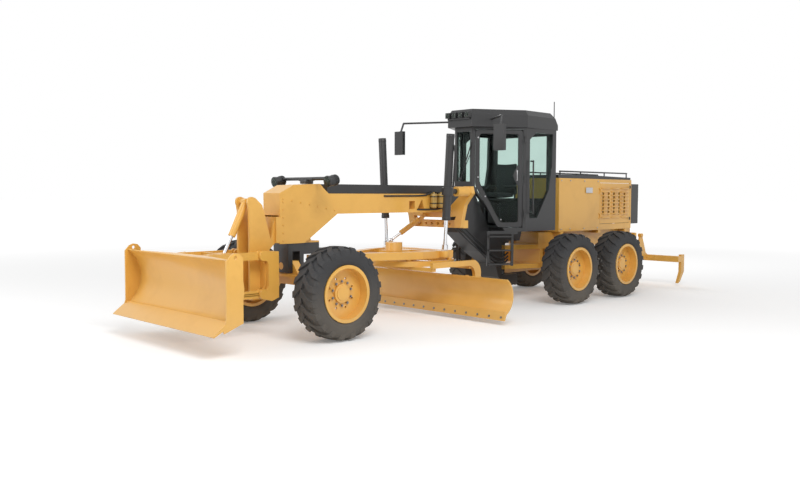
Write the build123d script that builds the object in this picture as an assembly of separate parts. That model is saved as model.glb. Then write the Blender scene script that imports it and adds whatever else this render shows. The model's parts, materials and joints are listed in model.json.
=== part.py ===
from build123d import *
import math
import os

# Motor grader with a front dozer blade and a rear ripper. Millimetres.
# x runs forward, y to the machine's left, z up from the ground. Lengths along x are
# measured from the middle of the tandem wheels and moved to the machine's centre on writing.

# ---- driving dimensions -------------------------------------------------------------
wheelbase = 5912            # front axle to the middle of the tandem
tandem_pitch = 1511         # between the two rear axles of a side
track_half = 1053           # machine's middle plane to a tyre's middle plane
nose_front = wheelbase + 278            # the gooseneck's front face
dozer_pin_x = nose_front + 370          # pins of the dozer's arms on its mount
dozer_arm_x = dozer_pin_x + 770         # and on its blade
front_reach = dozer_arm_x + 520         # tandem middle to the dozer's cutting edge
rear_reach = 3260           # tandem middle to the back of the ripper shank
fit = 0.3                   # clearance of seated and turning pieces
gap = 6.0                   # clearance of panels that move past each other
shift_x = -(front_reach - rear_reach) / 2

# tyres and rims
tyre_r = 605
tyre_half = 210
lug_height = 34             # the tread bars stand this far out of the carcass
lug_count = 20              # bars in each of the two rows
bead_r = 345
bead_half = 182
flange_r = 368
flange_t = 14
rim_wall = 20
disc_out = 60               # rim disc's outer face, outboard of the wheel's middle plane
disc_t = 24
hub_r = 120
hub_out = 92
hub_in = -104               # the hub's inboard end
spindle_r = 55
axle_z = tyre_r

# articulation
artic_x = 1300
pin_r = 45

# front frame
beam_half = 165
beam_z0 = 1588
beam_z1 = 1872
cover_z1 = 2004
nose_half = 190
nose_z0 = 1200

# front axle
lean_y = 640
lean_z = 520
kingpin_y = 860
lean_bar_z = 768
lean_bar_x = 119            # the bar runs this far in front of the axle

# drawbar, circle and moldboard
ball_x = wheelbase - 482
ball_z = 950
ball_r = 75
drawbar_z0 = 900
drawbar_z1 = 1010
drawbar_rear = 3240
drawbar_half = 600
circle_x = 3600
circle_r = 700
circle_wall = 110
circle_z0 = 790
circle_z1 = 870
tooth_count = 64
tooth_h = 26
arm_y = 920
arm_t = 56
tip_x = 3085
tip_z = 250
blade_half = 1829
blade_t = 24
blade_low = (3486, 70)
blade_mid = (3330, 345)
blade_top = (3456, 652)

# side-shift cylinder
shift_rod_x = 3210
shift_rod_z = 408
shift_rod_r = 20
shift_barrel_r = 36

# lift and centre-shift cylinders
lift_x = 3480
lift_top_y = 700
lift_pivot_z = 1910
lift_ball_y = 645
lift_ball_z = 1035
lift_end_z = drawbar_z1 + 24   # the lift rods end just over their sockets on the drawbar
lift_top_z = 2770
lift_low_z = 1490
barrel_r = 62
rod_r = 30

# cab
cab_front_x = 2345
cab_front_half = 190
cab_side_x = 1600
cab_side_half = 730
cab_rear_x = 760
cab_floor_z = 1250
cab_top_z = 2970
cab_wall = 50
roof_z = 3262
roof_slope_z = 90           # the roof's sides lean in over this height
roof_slope_in = 60
glass_t = 8

# hood
hood_half = 500
hood_front = 330
hood_rear = -2130
hood_z0 = 1200
hood_z1 = 2165
hood_wall = 30
hood_edge_r = 18
hood_step = -960
guard_rear = -2420

# dozer
dozer_half = 1250
dozer_low_pin_z = 575
dozer_high_pin_z = 1070
dozer_side_y = 300
tower_pin_z = 1760
tower_pin_x = dozer_pin_x + 40
dozer_rod_x = dozer_pin_x + 380
dozer_rod_z = 1060

# ripper
ripper_pin_x = -2560
ripper_pin_z = 640
ripper_beam_x = -3080
ripper_beam_z = 560
ripper_half = 1080
ripper_arm_y = 340
ripper_top_x = -2600
ripper_top_z = 1120
ripper_eye_x = -2780
ripper_eye_z = 700
ripper_tower_z = 1060       # the brackets over the ripper's arms reach this high


# ---- small helpers --------------------------------------------------------------------
def block(x0, x1, y0, y1, z0, z1):
    return Pos((x0 + x1) / 2, (y0 + y1) / 2, (z0 + z1) / 2) * Box(x1 - x0, y1 - y0, z1 - z0)


def side_plate(points, y0, y1):
    """A plate seen from the side: outline points (x, z), from y0 to y1."""
    face = make_face(Polyline(*[(x, 0, z) for x, z in points], close=True))
    return Pos(0, y0, 0) * extrude(face, y1 - y0, (0, 1, 0))


def flat_plate(points, z0, z1):
    """A plate seen from above: outline points (x, y), from z0 to z1."""
    face = make_face(Polyline(*[(x, y, z0) for x, y in points], close=True))
    return extrude(face, z1 - z0, (0, 0, 1))


def bar(start, end, radius):
    """A round bar between two points."""
    a, b = Vector(*start), Vector(*end)
    return Solid.make_cylinder(radius, (b - a).length, Plane(origin=a, z_dir=b - a))


def along_y(x, z, radius, y0, y1):
    return bar((x, y0, z), (x, y1, z), radius)


def along_z(x, y, radius, z0, z1):
    return bar((x, y, z0), (x, y, z1), radius)


def along_x(y, z, radius, x0, x1):
    return bar((x0, y, z), (x1, y, z), radius)


def other_side(shape):
    return mirror(shape, about=Plane.XZ)


def both_sides(shape):
    return [shape, other_side(shape)]


def fuse(*shapes):
    body = shapes[0]
    for shape in shapes[1:]:
        body = body + shape
    return body


def spun(points, y):
    """A solid of revolution about a wheel's axle: outline points (radius, offset along y)."""
    face = make_face(Polyline(*[(r, off, 0) for r, off in points], close=True))
    return Pos(0, y, 0) * revolve(face, Axis.Y)


os.makedirs("parts", exist_ok=True)
written = []


def save(name, *pieces):
    solids = []
    for piece in pieces:
        for one in piece if isinstance(piece, (list, tuple)) else [piece]:
            solids += list(one.solids())
    moved = [Pos(shift_x, 0, 0) * one for one in solids]
    shape = moved[0] if len(moved) == 1 else Compound(children=moved)
    export_step(shape, f"parts/{name}.step")
    written.append(name)


# ---- wheels: six alike, one row each --------------------------------------------------
# columns: name, axle x, side (+1 left, -1 right)
half_pitch = tandem_pitch / 2
wheels = [
    ("front_left", wheelbase, 1),
    ("front_right", wheelbase, -1),
    ("tandem_front_left", half_pitch, 1),
    ("tandem_front_right", half_pitch, -1),
    ("tandem_rear_left", -half_pitch, 1),
    ("tandem_rear_right", -half_pitch, -1),
]


def tyre_body():
    """Carcass with two rows of slanted bars that meet in the middle, half a pitch apart."""
    crown = tyre_r - lug_height
    section = [
        (bead_r + fit, -bead_half), (flange_r + 6, -bead_half), (flange_r + 20, -bead_half - 12),
        (480, -tyre_half), (crown - 25, -tyre_half + 8), (crown, -tyre_half + 45), (crown, tyre_half - 45),
        (crown - 25, tyre_half - 8), (480, tyre_half), (flange_r + 20, bead_half + 12),
        (flange_r + 6, bead_half), (bead_r + fit, bead_half),
    ]
    carcass = spun(section, 0)
    # a bar from above: (run round the tyre, distance from the middle plane)
    outline = [(-50, tyre_half - 4), (46, tyre_half - 4), (72, 110), (122, 24), (56, 6), (-24, 92)]
    foot, top = crown - 30, math.sqrt(tyre_r ** 2 - 122 ** 2)
    bar_row = []
    for turn in range(2 * lug_count):
        side = 1 if turn % 2 else -1
        face = make_face(Polyline(*[(run, side * off, foot) for run, off in outline], close=True))
        one = extrude(face, top - foot, (0, 0, 1))
        bar_row.append(one.rotate(Axis.Y, turn * 180 / lug_count))
    return carcass + bar_row


def rim_body():
    """Deep-dish rim, disc and hub in one: outboard is +y."""
    edge = bead_half + fit
    inner = bead_r - rim_wall
    section = [
        (spindle_r + fit, hub_in), (hub_r, hub_in),
        (hub_r, disc_out - disc_t), (inner, disc_out - disc_t),
        (inner, -edge - flange_t), (flange_r, -edge - flange_t), (flange_r, -edge),
        (bead_r, -edge), (bead_r, edge), (flange_r, edge), (flange_r, edge + flange_t),
        (inner, edge + flange_t), (inner, disc_out), (hub_r, disc_out),
        (hub_r, hub_out), (spindle_r + fit, hub_out),
    ]
    hub = spun(section, 0)
    cap = bar((0, hub_out - 20, 0), (0, hub_out + 8, 0), hub_r - 30)
    rim = hub + cap
    for turn in range(8):
        angle = math.radians(turn * 45 + 22.5)
        x, z = 200 * math.cos(angle), 200 * math.sin(angle)
        rim -= bar((x, disc_out - 2 * disc_t, z), (x, disc_out + 10, z), 16)
    return rim


tyre_shape = tyre_body()
rim_shape = rim_body()
spindle_end = hub_out - 20 - fit     # the spindle stops short of the hub's cap
for name, x, side in wheels:
    for piece, shape in (("tyre", tyre_shape), ("rim", rim_shape)):
        placed = Pos(x, track_half, axle_z) * shape
        save(f"{piece}_{name}", placed if side > 0 else other_side(placed))

# ---- rear frame, tandem cases, engine, hood -------------------------------------------
rail_y = 330
engine_z0 = 1000
rail_t = 60
rails = both_sides(block(-2400, 700, rail_y - rail_t, rail_y, 900, 1190))
cross = block(-2400, -2340, -rail_y, rail_y, 700, 1190)
nose = flat_plate([(700, -rail_y), (artic_x - 60, -110), (artic_x + 60, -110), (artic_x + 60, 110),
                   (artic_x - 60, 110), (700, rail_y), (560, rail_y), (560, -rail_y)], 560, 640)
nose_top = flat_plate([(700, -rail_y), (artic_x - 60, -110), (artic_x + 60, -110), (artic_x + 60, 110),
                       (artic_x - 60, 110), (700, rail_y), (560, rail_y), (560, -rail_y)], 900, 980)
nose_wall = block(560, 640, -rail_y, rail_y, 560, 1190)
nose_bore = along_z(artic_x, 0, pin_r + fit, 500, 1050)
axle_r = 190
housing = along_y(0, axle_z + 40, axle_r, -600, 600)
saddle = block(-160, 160, -rail_y, rail_y, axle_z + 120, 960)
ripper_ears = []
for y in (-ripper_arm_y - 60, -ripper_arm_y + 25, ripper_arm_y - 60, ripper_arm_y + 25):
    ripper_ears.append(side_plate([(-2400, 570), (-2400, 1000), (-2500, 1000), (-2620, 700), (-2620, 570)],
                                  y, y + 35))
for y in (-80, 50):
    ripper_ears.append(side_plate([(-2400, 900), (-2400, 1160), (-2600, 1160), (-2650, 1120), (-2600, 1060)],
                                  y, y + 30))
ear_beam = block(-2470, -2400, -440, 440, 560, 1100)
bearers = []
for x in (-1700, -560):
    bearers.append(block(x, x + 120, -rail_y, rail_y, 930, engine_z0 - fit))
for x in (-2000, -1050, 180):
    for side in (-1, 1):
        bearers.append(block(x, x + 90, *sorted((side * (rail_y - 10), side * (hood_half - 5))), 1140, hood_z0 - fit))
rear_frame = fuse(rails[0], rails[1], cross, *bearers, nose, nose_top, nose_wall, housing, saddle, ear_beam,
                  *ripper_ears)
rear_frame -= nose_bore
rear_frame -= along_y(ripper_pin_x, ripper_pin_z, 32 + fit, -500, 500)
rear_frame += along_y(ripper_top_x, ripper_top_z, 24, -60, 60)
save("rear_frame", rear_frame)

case_y0, case_y1 = 600, 790
case_end_r = 215
case = side_plate([(-half_pitch, axle_z - case_end_r), (half_pitch, axle_z - case_end_r),
                   (half_pitch, axle_z + case_end_r), (260, 900), (-260, 900), (-half_pitch, axle_z + case_end_r)],
                  case_y0, case_y1)
for x in (-half_pitch, half_pitch):
    case += along_y(x, axle_z, case_end_r, case_y0, case_y1)
for x in (-half_pitch, half_pitch):
    case += along_y(x, axle_z, 110, case_y1, track_half + hub_in - 5)
    case += along_y(x, axle_z, spindle_r, case_y1, track_half + spindle_end)
save("tandem_cases", both_sides(case))

engine = block(-1900, -300, -230, 230, engine_z0, 1900)
save("engine_block", engine)

shell = block(hood_rear, hood_front, -hood_half, hood_half, hood_z0, hood_z1)
shell -= block(hood_rear - 1, hood_front - hood_wall, -hood_half + hood_wall, hood_half - hood_wall,
               hood_z0 - 1, hood_z1 - hood_wall)
door_x0, door_x1 = hood_rear + 50, hood_step - 40
door_z0, door_z1 = hood_z0 + 110, hood_z1 - 70
shell = fillet(shell.edges().filter_by(Axis.X).filter_by_position(Axis.Z, hood_z1 - 1, hood_z1 + 1)
               .filter_by(lambda edge: abs(edge.center().Y) > hood_half - 1), hood_edge_r)
for side in (-1, 1):
    y0, y1 = sorted((side * (hood_half - hood_wall - 1), side * (hood_half + 1)))
    shell -= block(door_x0, door_x1, y0, y1, door_z0, door_z1)
door_panel = block(door_x0 + gap, door_x1 - gap, hood_half - hood_wall, hood_half, door_z0 + gap,
                   door_z1 - gap)
for i in range(5):
    x = door_x0 + 170 + i * 190
    door_panel -= block(x, x + 60, hood_half - hood_wall - 1, hood_half + 1, door_z0 + 170, door_z1 - 170)
# hinges on the door's front edge, outside the panel
hinge_x, hinge_y = door_x1 - 3, hood_half + 10
for z in (door_z0 + 120, door_z1 - 190):
    door_panel += block(hinge_x - 45, hinge_x, hood_half, hinge_y + 4, z, z + 70)
    door_panel += along_z(hinge_x, hinge_y, 10, z, z + 70)
    door_panel -= along_z(hinge_x, hinge_y, 5 + fit, z - 1, z + 71)
    lug = along_z(hinge_x, hinge_y, 5, z - 20, z + 90)
    for z_lug in (z - 20, z + 70 + fit):
        lug += block(hinge_x - 5, hinge_x + 40, hood_half + fit, hinge_y + 5, z_lug, z_lug + 20 - fit)
        lug += block(hinge_x + 4, hinge_x + 40, hood_half - 1, hood_half + 1, z_lug, z_lug + 20 - fit)
    shell = fuse(shell, lug, other_side(lug))
save("hood", shell)
save("hood_door_left", door_panel)
save("hood_door_right", other_side(door_panel))
cap = side_plate([(hood_rear, hood_z1 + fit), (hood_front, hood_z1 + fit), (hood_front, hood_z1 + 62),
                  (hood_step, hood_z1 + 62), (hood_rear, hood_z1 + 40)], -hood_half + 20, hood_half - 20)
save("hood_cap", cap)
guard = block(guard_rear, hood_rear - fit, -hood_half + 12, hood_half - 12, 1290, 2080)
for i in range(9):
    z = 1350 + i * 78
    guard -= block(guard_rear - 1, guard_rear + 60, -hood_half + 90, hood_half - 90, z, z + 40)
save("radiator_guard", guard)

# ---- ripper -----------------------------------------------------------------------------
arm_low = []
for y in (-ripper_arm_y, ripper_arm_y):
    arm_low.append(side_plate([(ripper_pin_x + 50, ripper_pin_z + 50), (ripper_pin_x + 50, ripper_pin_z - 50),
                               (ripper_beam_x, ripper_beam_z - 60), (ripper_beam_x, ripper_beam_z + 60),
                               (ripper_eye_x - 40, ripper_eye_z + 50), (ripper_eye_x + 60, ripper_eye_z + 50)],
                              y - 19, y + 19))
arm_low.append(block(ripper_eye_x - 70, ripper_eye_x + 10, -ripper_arm_y, ripper_arm_y, ripper_eye_z - 165,
                     ripper_eye_z - 95))
for y in (-76, 46):
    arm_low.append(side_plate([(ripper_eye_x - 70, ripper_eye_z - 100), (ripper_eye_x - 50, ripper_eye_z + 40),
                               (ripper_eye_x + 40, ripper_eye_z + 40), (ripper_eye_x + 50, ripper_eye_z - 100)],
                              y, y + 30))
for y in (-ripper_arm_y, ripper_arm_y):
    arm_low.append(side_plate([(ripper_beam_x + 60, ripper_beam_z + 40), (ripper_eye_x - 60, ripper_tower_z - 30),
                               (ripper_eye_x + 10, ripper_tower_z - 30), (ripper_eye_x + 110, ripper_eye_z - 40)],
                              y - 19, y + 19))
    arm_low.append(along_y(ripper_eye_x - 25, ripper_tower_z - 30, 42, y - 40, y + 40))
beam = block(ripper_beam_x - 70, ripper_beam_x + 70, -ripper_half, ripper_half, ripper_beam_z - 60,
             ripper_beam_z + 60)
shank_z0 = 70
shank = side_plate([(ripper_beam_x - 180, ripper_beam_z + 90), (ripper_beam_x - 60, ripper_beam_z + 90),
                    (ripper_beam_x - 60, 300), (ripper_beam_x + 40, 110), (ripper_beam_x + 60, shank_z0),
                    (ripper_beam_x - 20, 100), (ripper_beam_x - 180, 300)], -30, 30)
ripper = fuse(beam, *arm_low)
for y in (-ripper_half + 30, 0, ripper_half - 30):
    ripper += Pos(0, y, 0) * shank
for y in (-ripper_arm_y, ripper_arm_y):
    ripper += along_y(ripper_pin_x, ripper_pin_z, 32, y - 60, y + 60)
save("ripper_frame", ripper)

# ---- front frame ------------------------------------------------------------------------
beam_rear = 2950
throat_x, chin_x = nose_front - 990, nose_front - 410      # where the underside starts to fall, and ends
brow_x, crest_x, neck_x, beam_end = nose_front - 226, nose_front - 675, nose_front - 774, nose_front - 830
nose_outline = [(throat_x, beam_z0), (chin_x, nose_z0), (nose_front, nose_z0), (nose_front, 1876),
                (brow_x, 1985), (crest_x, 2006), (neck_x, 1916), (beam_end, beam_z1)]
gooseneck_side = [(beam_rear, beam_z0)] + nose_outline + [(beam_rear, beam_z1)]
beam_part = side_plate(gooseneck_side, -beam_half, beam_half)
nose_part = side_plate(nose_outline, -nose_half, nose_half)
gooseneck = beam_part + nose_part
gooseneck -= block(nose_front - 110, nose_front + 1, -nose_half + 30, nose_half - 30, nose_z0 - 1, 1580)
bolster = block(wheelbase - 130, wheelbase - 60, -170, 170, 800, nose_z0)
bolster += block(wheelbase + 60, wheelbase + 130, -170, 170, 800, nose_z0)
bolster += block(wheelbase - 130, wheelbase + 130, -170, 170, 1090, nose_z0)
axle_pin_z = 890
bolster -= along_x(0, axle_pin_z, 50 + fit, wheelbase - 200, wheelbase + 200)
socket = block(ball_x - 60, wheelbase - 130, -110, 110, ball_z + ball_r + 20, ball_z + ball_r + 90)
socket += block(ball_x + 40, wheelbase - 130, -110, 110, ball_z + ball_r + 20, nose_z0 + 20)
socket_plate = side_plate([(ball_x + 100, 1040), (wheelbase - 60, 1040), (wheelbase - 60, 1300),
                           (ball_x + 210, 1300)], -110, 110)
gooseneck -= block(3640, 3760, -beam_half - 1, beam_half + 1, 1640, 1760)
gooseneck -= side_plate([(3440, 1640), (3580, 1640), (3480, 1790)], -beam_half - 1, beam_half + 1)
gooseneck = fuse(gooseneck, bolster, socket, socket_plate)
save("gooseneck", gooseneck)

cover = block(beam_rear + 10, beam_end - 5, -beam_half + 20, beam_half - 20, beam_z1 + fit, cover_z1)
save("beam_cover", cover)

# the cab's front is cut back below by a slope from (chin_foot_x, floor) to (chin_top_x, chin_top_z)
chin_foot_x, chin_top_x, chin_top_z, chin_gap = 1880, cab_front_x, 1990, 3 * fit
frame_side = [
    (beam_rear - fit, beam_z0), (beam_rear - fit, 2000), (chin_top_x + chin_gap, 2000), (chin_top_x + chin_gap, chin_top_z),
    (chin_foot_x + chin_gap, cab_floor_z - fit), (1000, cab_floor_z - fit),
    (1130, 860), (1130, 300), (1420, 270), (1650, 450), (1735, 690), (2120, 914), (2560, 1241),
    (2640, beam_z0),
]
cab_frame = side_plate(frame_side, -200, 200)
cab_frame -= block(900, artic_x + 260, -201, 201, 480, 1060)
cab_frame = cab_frame + along_z(artic_x, 0, pin_r, 480, 1060)
save("cab_frame", cab_frame)

# ---- cab ----------------------------------------------------------------------------------
def cab_plan(inset=0.0):
    """Half-plan corners (x, y), front to rear, moved inwards by inset."""
    slope = math.hypot(cab_front_x - cab_side_x, cab_side_half - cab_front_half)
    lean = math.atan2(cab_side_half - cab_front_half, cab_front_x - cab_side_x)
    front = (cab_front_x - inset, cab_front_half + inset * math.tan((math.pi / 2 - lean) / 2) * -1)
    corner = (cab_side_x - inset * math.tan(lean / 2), cab_side_half - inset)
    rear = (cab_rear_x + inset, cab_side_half - inset)
    return [front, corner, rear]


def cab_outline(inset=0.0):
    half = cab_plan(inset)
    return half + [(x, -y) for x, y in reversed(half)]


outer = flat_plate(cab_outline(), cab_floor_z, cab_top_z)
inner = flat_plate(cab_outline(cab_wall), cab_floor_z + cab_wall, cab_top_z + 1)
shell = outer - inner
door_dir = Vector(cab_front_x - cab_side_x, cab_front_half - cab_side_half, 0).normalized()
door_out = Vector(-door_dir.Y, door_dir.X, 0)
if door_out.Y < 0:
    door_out = door_out * -1
door_plane = Plane(origin=(cab_side_x, cab_side_half, 0), x_dir=door_dir, z_dir=-door_out)
door_len = math.hypot(cab_front_x - cab_side_x, cab_side_half - cab_front_half)


def door_plate(points, out, into):
    """Outline points (run along the door from its hinge, height); from out to into its face."""
    locals_ = [door_plane.origin + door_dir * s + Vector(0, 0, z) + door_out * out for s, z in points]
    face = make_face(Polyline(*locals_, close=True))
    return extrude(face, out + into, -door_out)


door_edge = [(60, cab_floor_z + 70), (480, cab_floor_z + 70), (door_len - 60, 2010), (door_len - 60, 2930),
             (60, 2930)]
door_hole = [(60 - gap, cab_floor_z + 70 - gap), (480 + gap, cab_floor_z + 70 - gap),
             (door_len - 60 + gap, 2010 - gap), (door_len - 60 + gap, 2930 + gap), (60 - gap, 2930 + gap)]
door_glass = [(130, cab_floor_z + 150), (440, cab_floor_z + 150), (door_len - 120, 2060), (door_len - 120, 2870),
              (130, 2870)]
left_cut = door_plate(door_hole, 20, cab_wall + 20)
shell = shell - left_cut - other_side(left_cut)
# side windows: outline (x, z)
side_window = [(1500, 1470), (1500, 2780), (1330, 2900), (860, 2900), (880, 2350), (960, 1950), (1290, 1470)]
shell -= side_plate(side_window, -cab_side_half - 1, cab_side_half + 1)
shell -= block(cab_front_x - cab_wall - 1, cab_front_x + 1, -cab_front_half + 45, cab_front_half - 45, 2080, 2900)
shell -= block(cab_rear_x - 1, cab_rear_x + cab_wall + 1, -560, 560, 1800, 2880)
chin = side_plate([(chin_foot_x, cab_floor_z - 1), (chin_top_x, chin_top_z), (chin_top_x + 1, chin_top_z),
                   (chin_top_x + 1, cab_floor_z - 1)], -cab_side_half, cab_side_half)
shell -= chin
# steps under each door, in the door's plane: where the rails stand along it, and the rungs' heights
rail_runs = (222, 634)
rung_zs = (710, 940, 1170)
steps = door_plate([(130, cab_floor_z - 40), (660, cab_floor_z - 40), (660, cab_floor_z), (560, cab_floor_z + 12),
                    (130, cab_floor_z + 12)], 0, 40)
for run in rail_runs:
    steps += door_plate([(run - 20, 680), (run + 20, 680), (run + 20, cab_floor_z - 30), (run - 20, cab_floor_z - 30)],
                        0, 40)
for z in rung_zs:
    steps += door_plate([(rail_runs[0], z - 12), (rail_runs[1], z - 12), (rail_runs[1], z + 12),
                         (rail_runs[0], z + 12)], 60, 40)
# door hinges: pins on the shell, barrels on the door
hinge_run, hinge_off = 30, 16
hinge_at = door_plane.origin + door_dir * hinge_run + door_out * hinge_off
cab_hinge_zs = (1500, 2100, 2740)
for z in cab_hinge_zs:
    steps += along_z(hinge_at.X, hinge_at.Y, 6, z - 20, z + 100)
    for z_lug in (z - 20, z + 80 + fit):
        steps += door_plate([(0, z_lug), (hinge_run + 6, z_lug), (hinge_run + 6, z_lug + 20 - fit),
                             (0, z_lug + 20 - fit)], hinge_off + 6, 1)
shell = fuse(shell, steps, other_side(steps))
save("cab_shell", shell)

def pane(outline, from_plane):
    """A pane that fills its opening but for the fit: outline points in the plane given."""
    face = make_face(Polyline(*[from_plane.from_local_coords((u, v, 0)) for u, v in outline], close=True))
    return extrude(offset(face, -fit), glass_t, from_plane.z_dir)


door = door_plate(door_edge, 0, cab_wall) - door_plate(door_glass, 1, cab_wall + 1)
for z in cab_hinge_zs:
    door += door_plate([(hinge_run, z), (hinge_run + 70, z), (hinge_run + 70, z + 80), (hinge_run, z + 80)],
                       hinge_off + 5, 0)
    door += along_z(hinge_at.X, hinge_at.Y, 12, z, z + 80)
    door -= along_z(hinge_at.X, hinge_at.Y, 6 + fit, z - 1, z + 81)
door_pane = pane(door_glass, Plane(origin=door_plane.origin - door_out * 20, x_dir=door_dir, z_dir=-door_out))
save("cab_door_left", door, door_pane)
save("cab_door_right", other_side(door), other_side(door_pane))

roof_plan = [(cab_front_x + 100, 260), (cab_side_x, cab_side_half + 25), (cab_rear_x - 60, cab_side_half - 10),
             (cab_rear_x - 60, -cab_side_half + 10), (cab_side_x, -cab_side_half - 25), (cab_front_x + 100, -260)]
roof = flat_plate(roof_plan, cab_top_z + fit, roof_z)
roof = chamfer(roof.faces().sort_by(Axis.Z)[-1].edges(), roof_slope_z, roof_slope_in)
roof -= side_plate([(cab_rear_x - 61, roof_z + 1), (cab_rear_x - 61, 3060), (cab_rear_x + 90, roof_z + 1)], -800, 800)
roof -= flat_plate(cab_outline(cab_wall + 40), cab_top_z, roof_z - 60)
save("cab_roof", roof)

panes = both_sides(pane(side_window, Plane(origin=(0, cab_side_half - cab_wall / 2, 0), x_dir=(1, 0, 0),
                                           z_dir=(0, -1, 0))))
windscreen = [(-cab_front_half + 45, 2080), (cab_front_half - 45, 2080), (cab_front_half - 45, 2900),
              (-cab_front_half + 45, 2900)]
panes.append(pane(windscreen, Plane(origin=(cab_front_x - cab_wall / 2, 0, 0), x_dir=(0, 1, 0), z_dir=(1, 0, 0))))
back_window = [(-560, 1800), (560, 1800), (560, 2880), (-560, 2880)]
panes.append(pane(back_window, Plane(origin=(cab_rear_x + 20, 0, 0), x_dir=(0, 1, 0), z_dir=(1, 0, 0))))
save("cab_glass", panes)

seat = block(1230, 1700, -240, 240, cab_floor_z + cab_wall + fit + 380, cab_floor_z + cab_wall + 500)
seat += block(1130, 1260, -230, 230, cab_floor_z + 500, 2450)
seat += block(1330, 1560, -130, 130, cab_floor_z + cab_wall + fit, cab_floor_z + cab_wall + 400)
console = block(1820, 1870, -60, 60, cab_floor_z + cab_wall + fit, 1960)
console += block(1780, 1900, -150, 150, 1960, 2000)
save("operator_station", seat, console)

# mirrors, work lamps and aerial on the roof
mirror_arm = bar((2120, 420, 3100), (2680, 1080, 3080), 16) + bar((2680, 1080, 3080), (2740, 1100, 2900), 16)
mirror_arm -= flat_plate([(x, y + (0.35 if y > 0 else -0.35)) for x, y in roof_plan], cab_top_z - 1, roof_z + 1)
mirror_arm += Sphere(16).moved(Location((2680, 1080, 3080)))
mirror_head = block(2720, 2780, 1000, 1200, 2540, 2940)
mirror_arm = mirror_arm + mirror_head
lamp_bar = block(cab_front_x + 100 + fit, cab_front_x + 130, -240, 240, 3090, 3120)
for y in (-210, -70, 70, 210):
    lamp_bar += block(cab_front_x + 100 + fit, cab_front_x + 170, y - 45, y + 45, 3120, 3210)
aerial = block(cab_rear_x - 130, cab_rear_x - 60 - fit, 560, 640, 3000, 3040)
aerial += along_z(cab_rear_x - 110, 600, 8, 3000, 3480)
save("roof_fittings", both_sides(mirror_arm), lamp_bar, aerial)

# ---- lift saddle: two curved arms, the beam clamp and the holed link bar below -------------
arm_x0, arm_x1 = 2955, 3035
arm_pts = [(170, 1600), (300, 1640), (560, 1860), (620, 1990), (760, 1990), (790, 1880), (720, 1800),
           (640, 1700), (590, 1500), (560, 1346), (430, 1346), (430, 1446), (470, 1520), (170, 1500)]
face = make_face(Polyline(*[(arm_x0, y, z) for y, z in arm_pts], close=True))
lift_arm = extrude(face, arm_x1 - arm_x0, (1, 0, 0))
lift_arm += along_x(lift_top_y, lift_pivot_z, 75, arm_x0, 3300)
lift_arm -= along_x(lift_top_y, lift_pivot_z, 38 + fit, arm_x1 + 60, 3301)
link_bar_z = 1396
link_bar = block(2850, arm_x0, -560, 560, link_bar_z - 60, link_bar_z + 60)
for i in range(7):
    y = -390 + i * 130
    link_bar -= along_x(y, link_bar_z, 22, 2840, 3050)
saddle_top = block(arm_x0, arm_x1, -beam_half - 80, beam_half + 80, beam_z0 - 90, beam_z0 - fit)
# the centre-shift cylinder hangs in front of the saddle, from an upright pin
centre_high = Vector(arm_x1 + 78, -195, beam_z0 - 88)
saddle_top += block(arm_x1 - 20, arm_x1 + 8, centre_high.Y - 40, centre_high.Y + 40, centre_high.Z + 10, beam_z0 - fit)
saddle_top += block(arm_x1 - 10, centre_high.X, centre_high.Y - 22, centre_high.Y + 22, centre_high.Z + 40, beam_z0 - 20)
for z in (centre_high.Z - 50, centre_high.Z + 40):
    saddle_top += along_z(centre_high.X, centre_high.Y, 22, z, z + 12)
saddle_top += along_z(centre_high.X, centre_high.Y, 12, centre_high.Z - 50, centre_high.Z + 50)
lift_saddle = fuse(lift_arm, other_side(lift_arm), link_bar, saddle_top)
save("lift_saddle", lift_saddle)

tanks = []
for x in (3130, 3290):
    tank = along_z(x, beam_half + 65, 55, 1640, 1900)
    tank += block(x - 30, x + 30, beam_half + fit, beam_half + 40, 1720, 1780)
    tanks.append(tank)

lamp_x = nose_front - 590


def nose_top_z(x):
    """Height of the gooseneck's top behind its front slope."""
    return 2006 - (x - crest_x) * (2006 - 1985) / (brow_x - crest_x)


light_bar = along_y(lamp_x, 2075, 26, -560, 560)
light_bar += side_plate([(lamp_x - 70, nose_top_z(lamp_x - 70) + fit), (lamp_x + 70, nose_top_z(lamp_x + 70) + fit),
                         (lamp_x + 70, 2085), (lamp_x - 70, 2085)], -70, 70)
for side in (-1, 1):
    light_bar += bar((lamp_x - 50, side * 600, 2060), (lamp_x + 130, side * 600, 2030), 78)
    light_bar += block(lamp_x - 20, lamp_x + 20, side * 600 - 45, side * 600 + 45, 2030, 2100)
save("beam_fittings", light_bar, tanks)

# ---- front axle, lean brackets, knuckles -----------------------------------------------------
axle = None
axle_face = [(-lean_y, 440), (-lean_y, 600), (-360, 700), (-150, 960), (150, 960), (360, 700), (lean_y, 600),
             (lean_y, 440), (400, 440), (250, 640), (-250, 640), (-400, 440)]
face = make_face(Polyline(*[(wheelbase - 55, y, z) for y, z in axle_face], close=True))
axle = extrude(face, 110, (1, 0, 0))
axle += along_x(0, axle_pin_z, 50, wheelbase - 128, wheelbase + 128)
lean_pin_r = 40
axle_end = along_x(lean_y, lean_z, 75, wheelbase - 55, wheelbase + 55)
axle += axle_end + other_side(axle_end)
lean_bore = along_x(lean_y, lean_z, lean_pin_r + fit, wheelbase - 200, wheelbase + 200)
axle = axle - lean_bore - other_side(lean_bore)
save("front_axle", axle)

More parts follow.
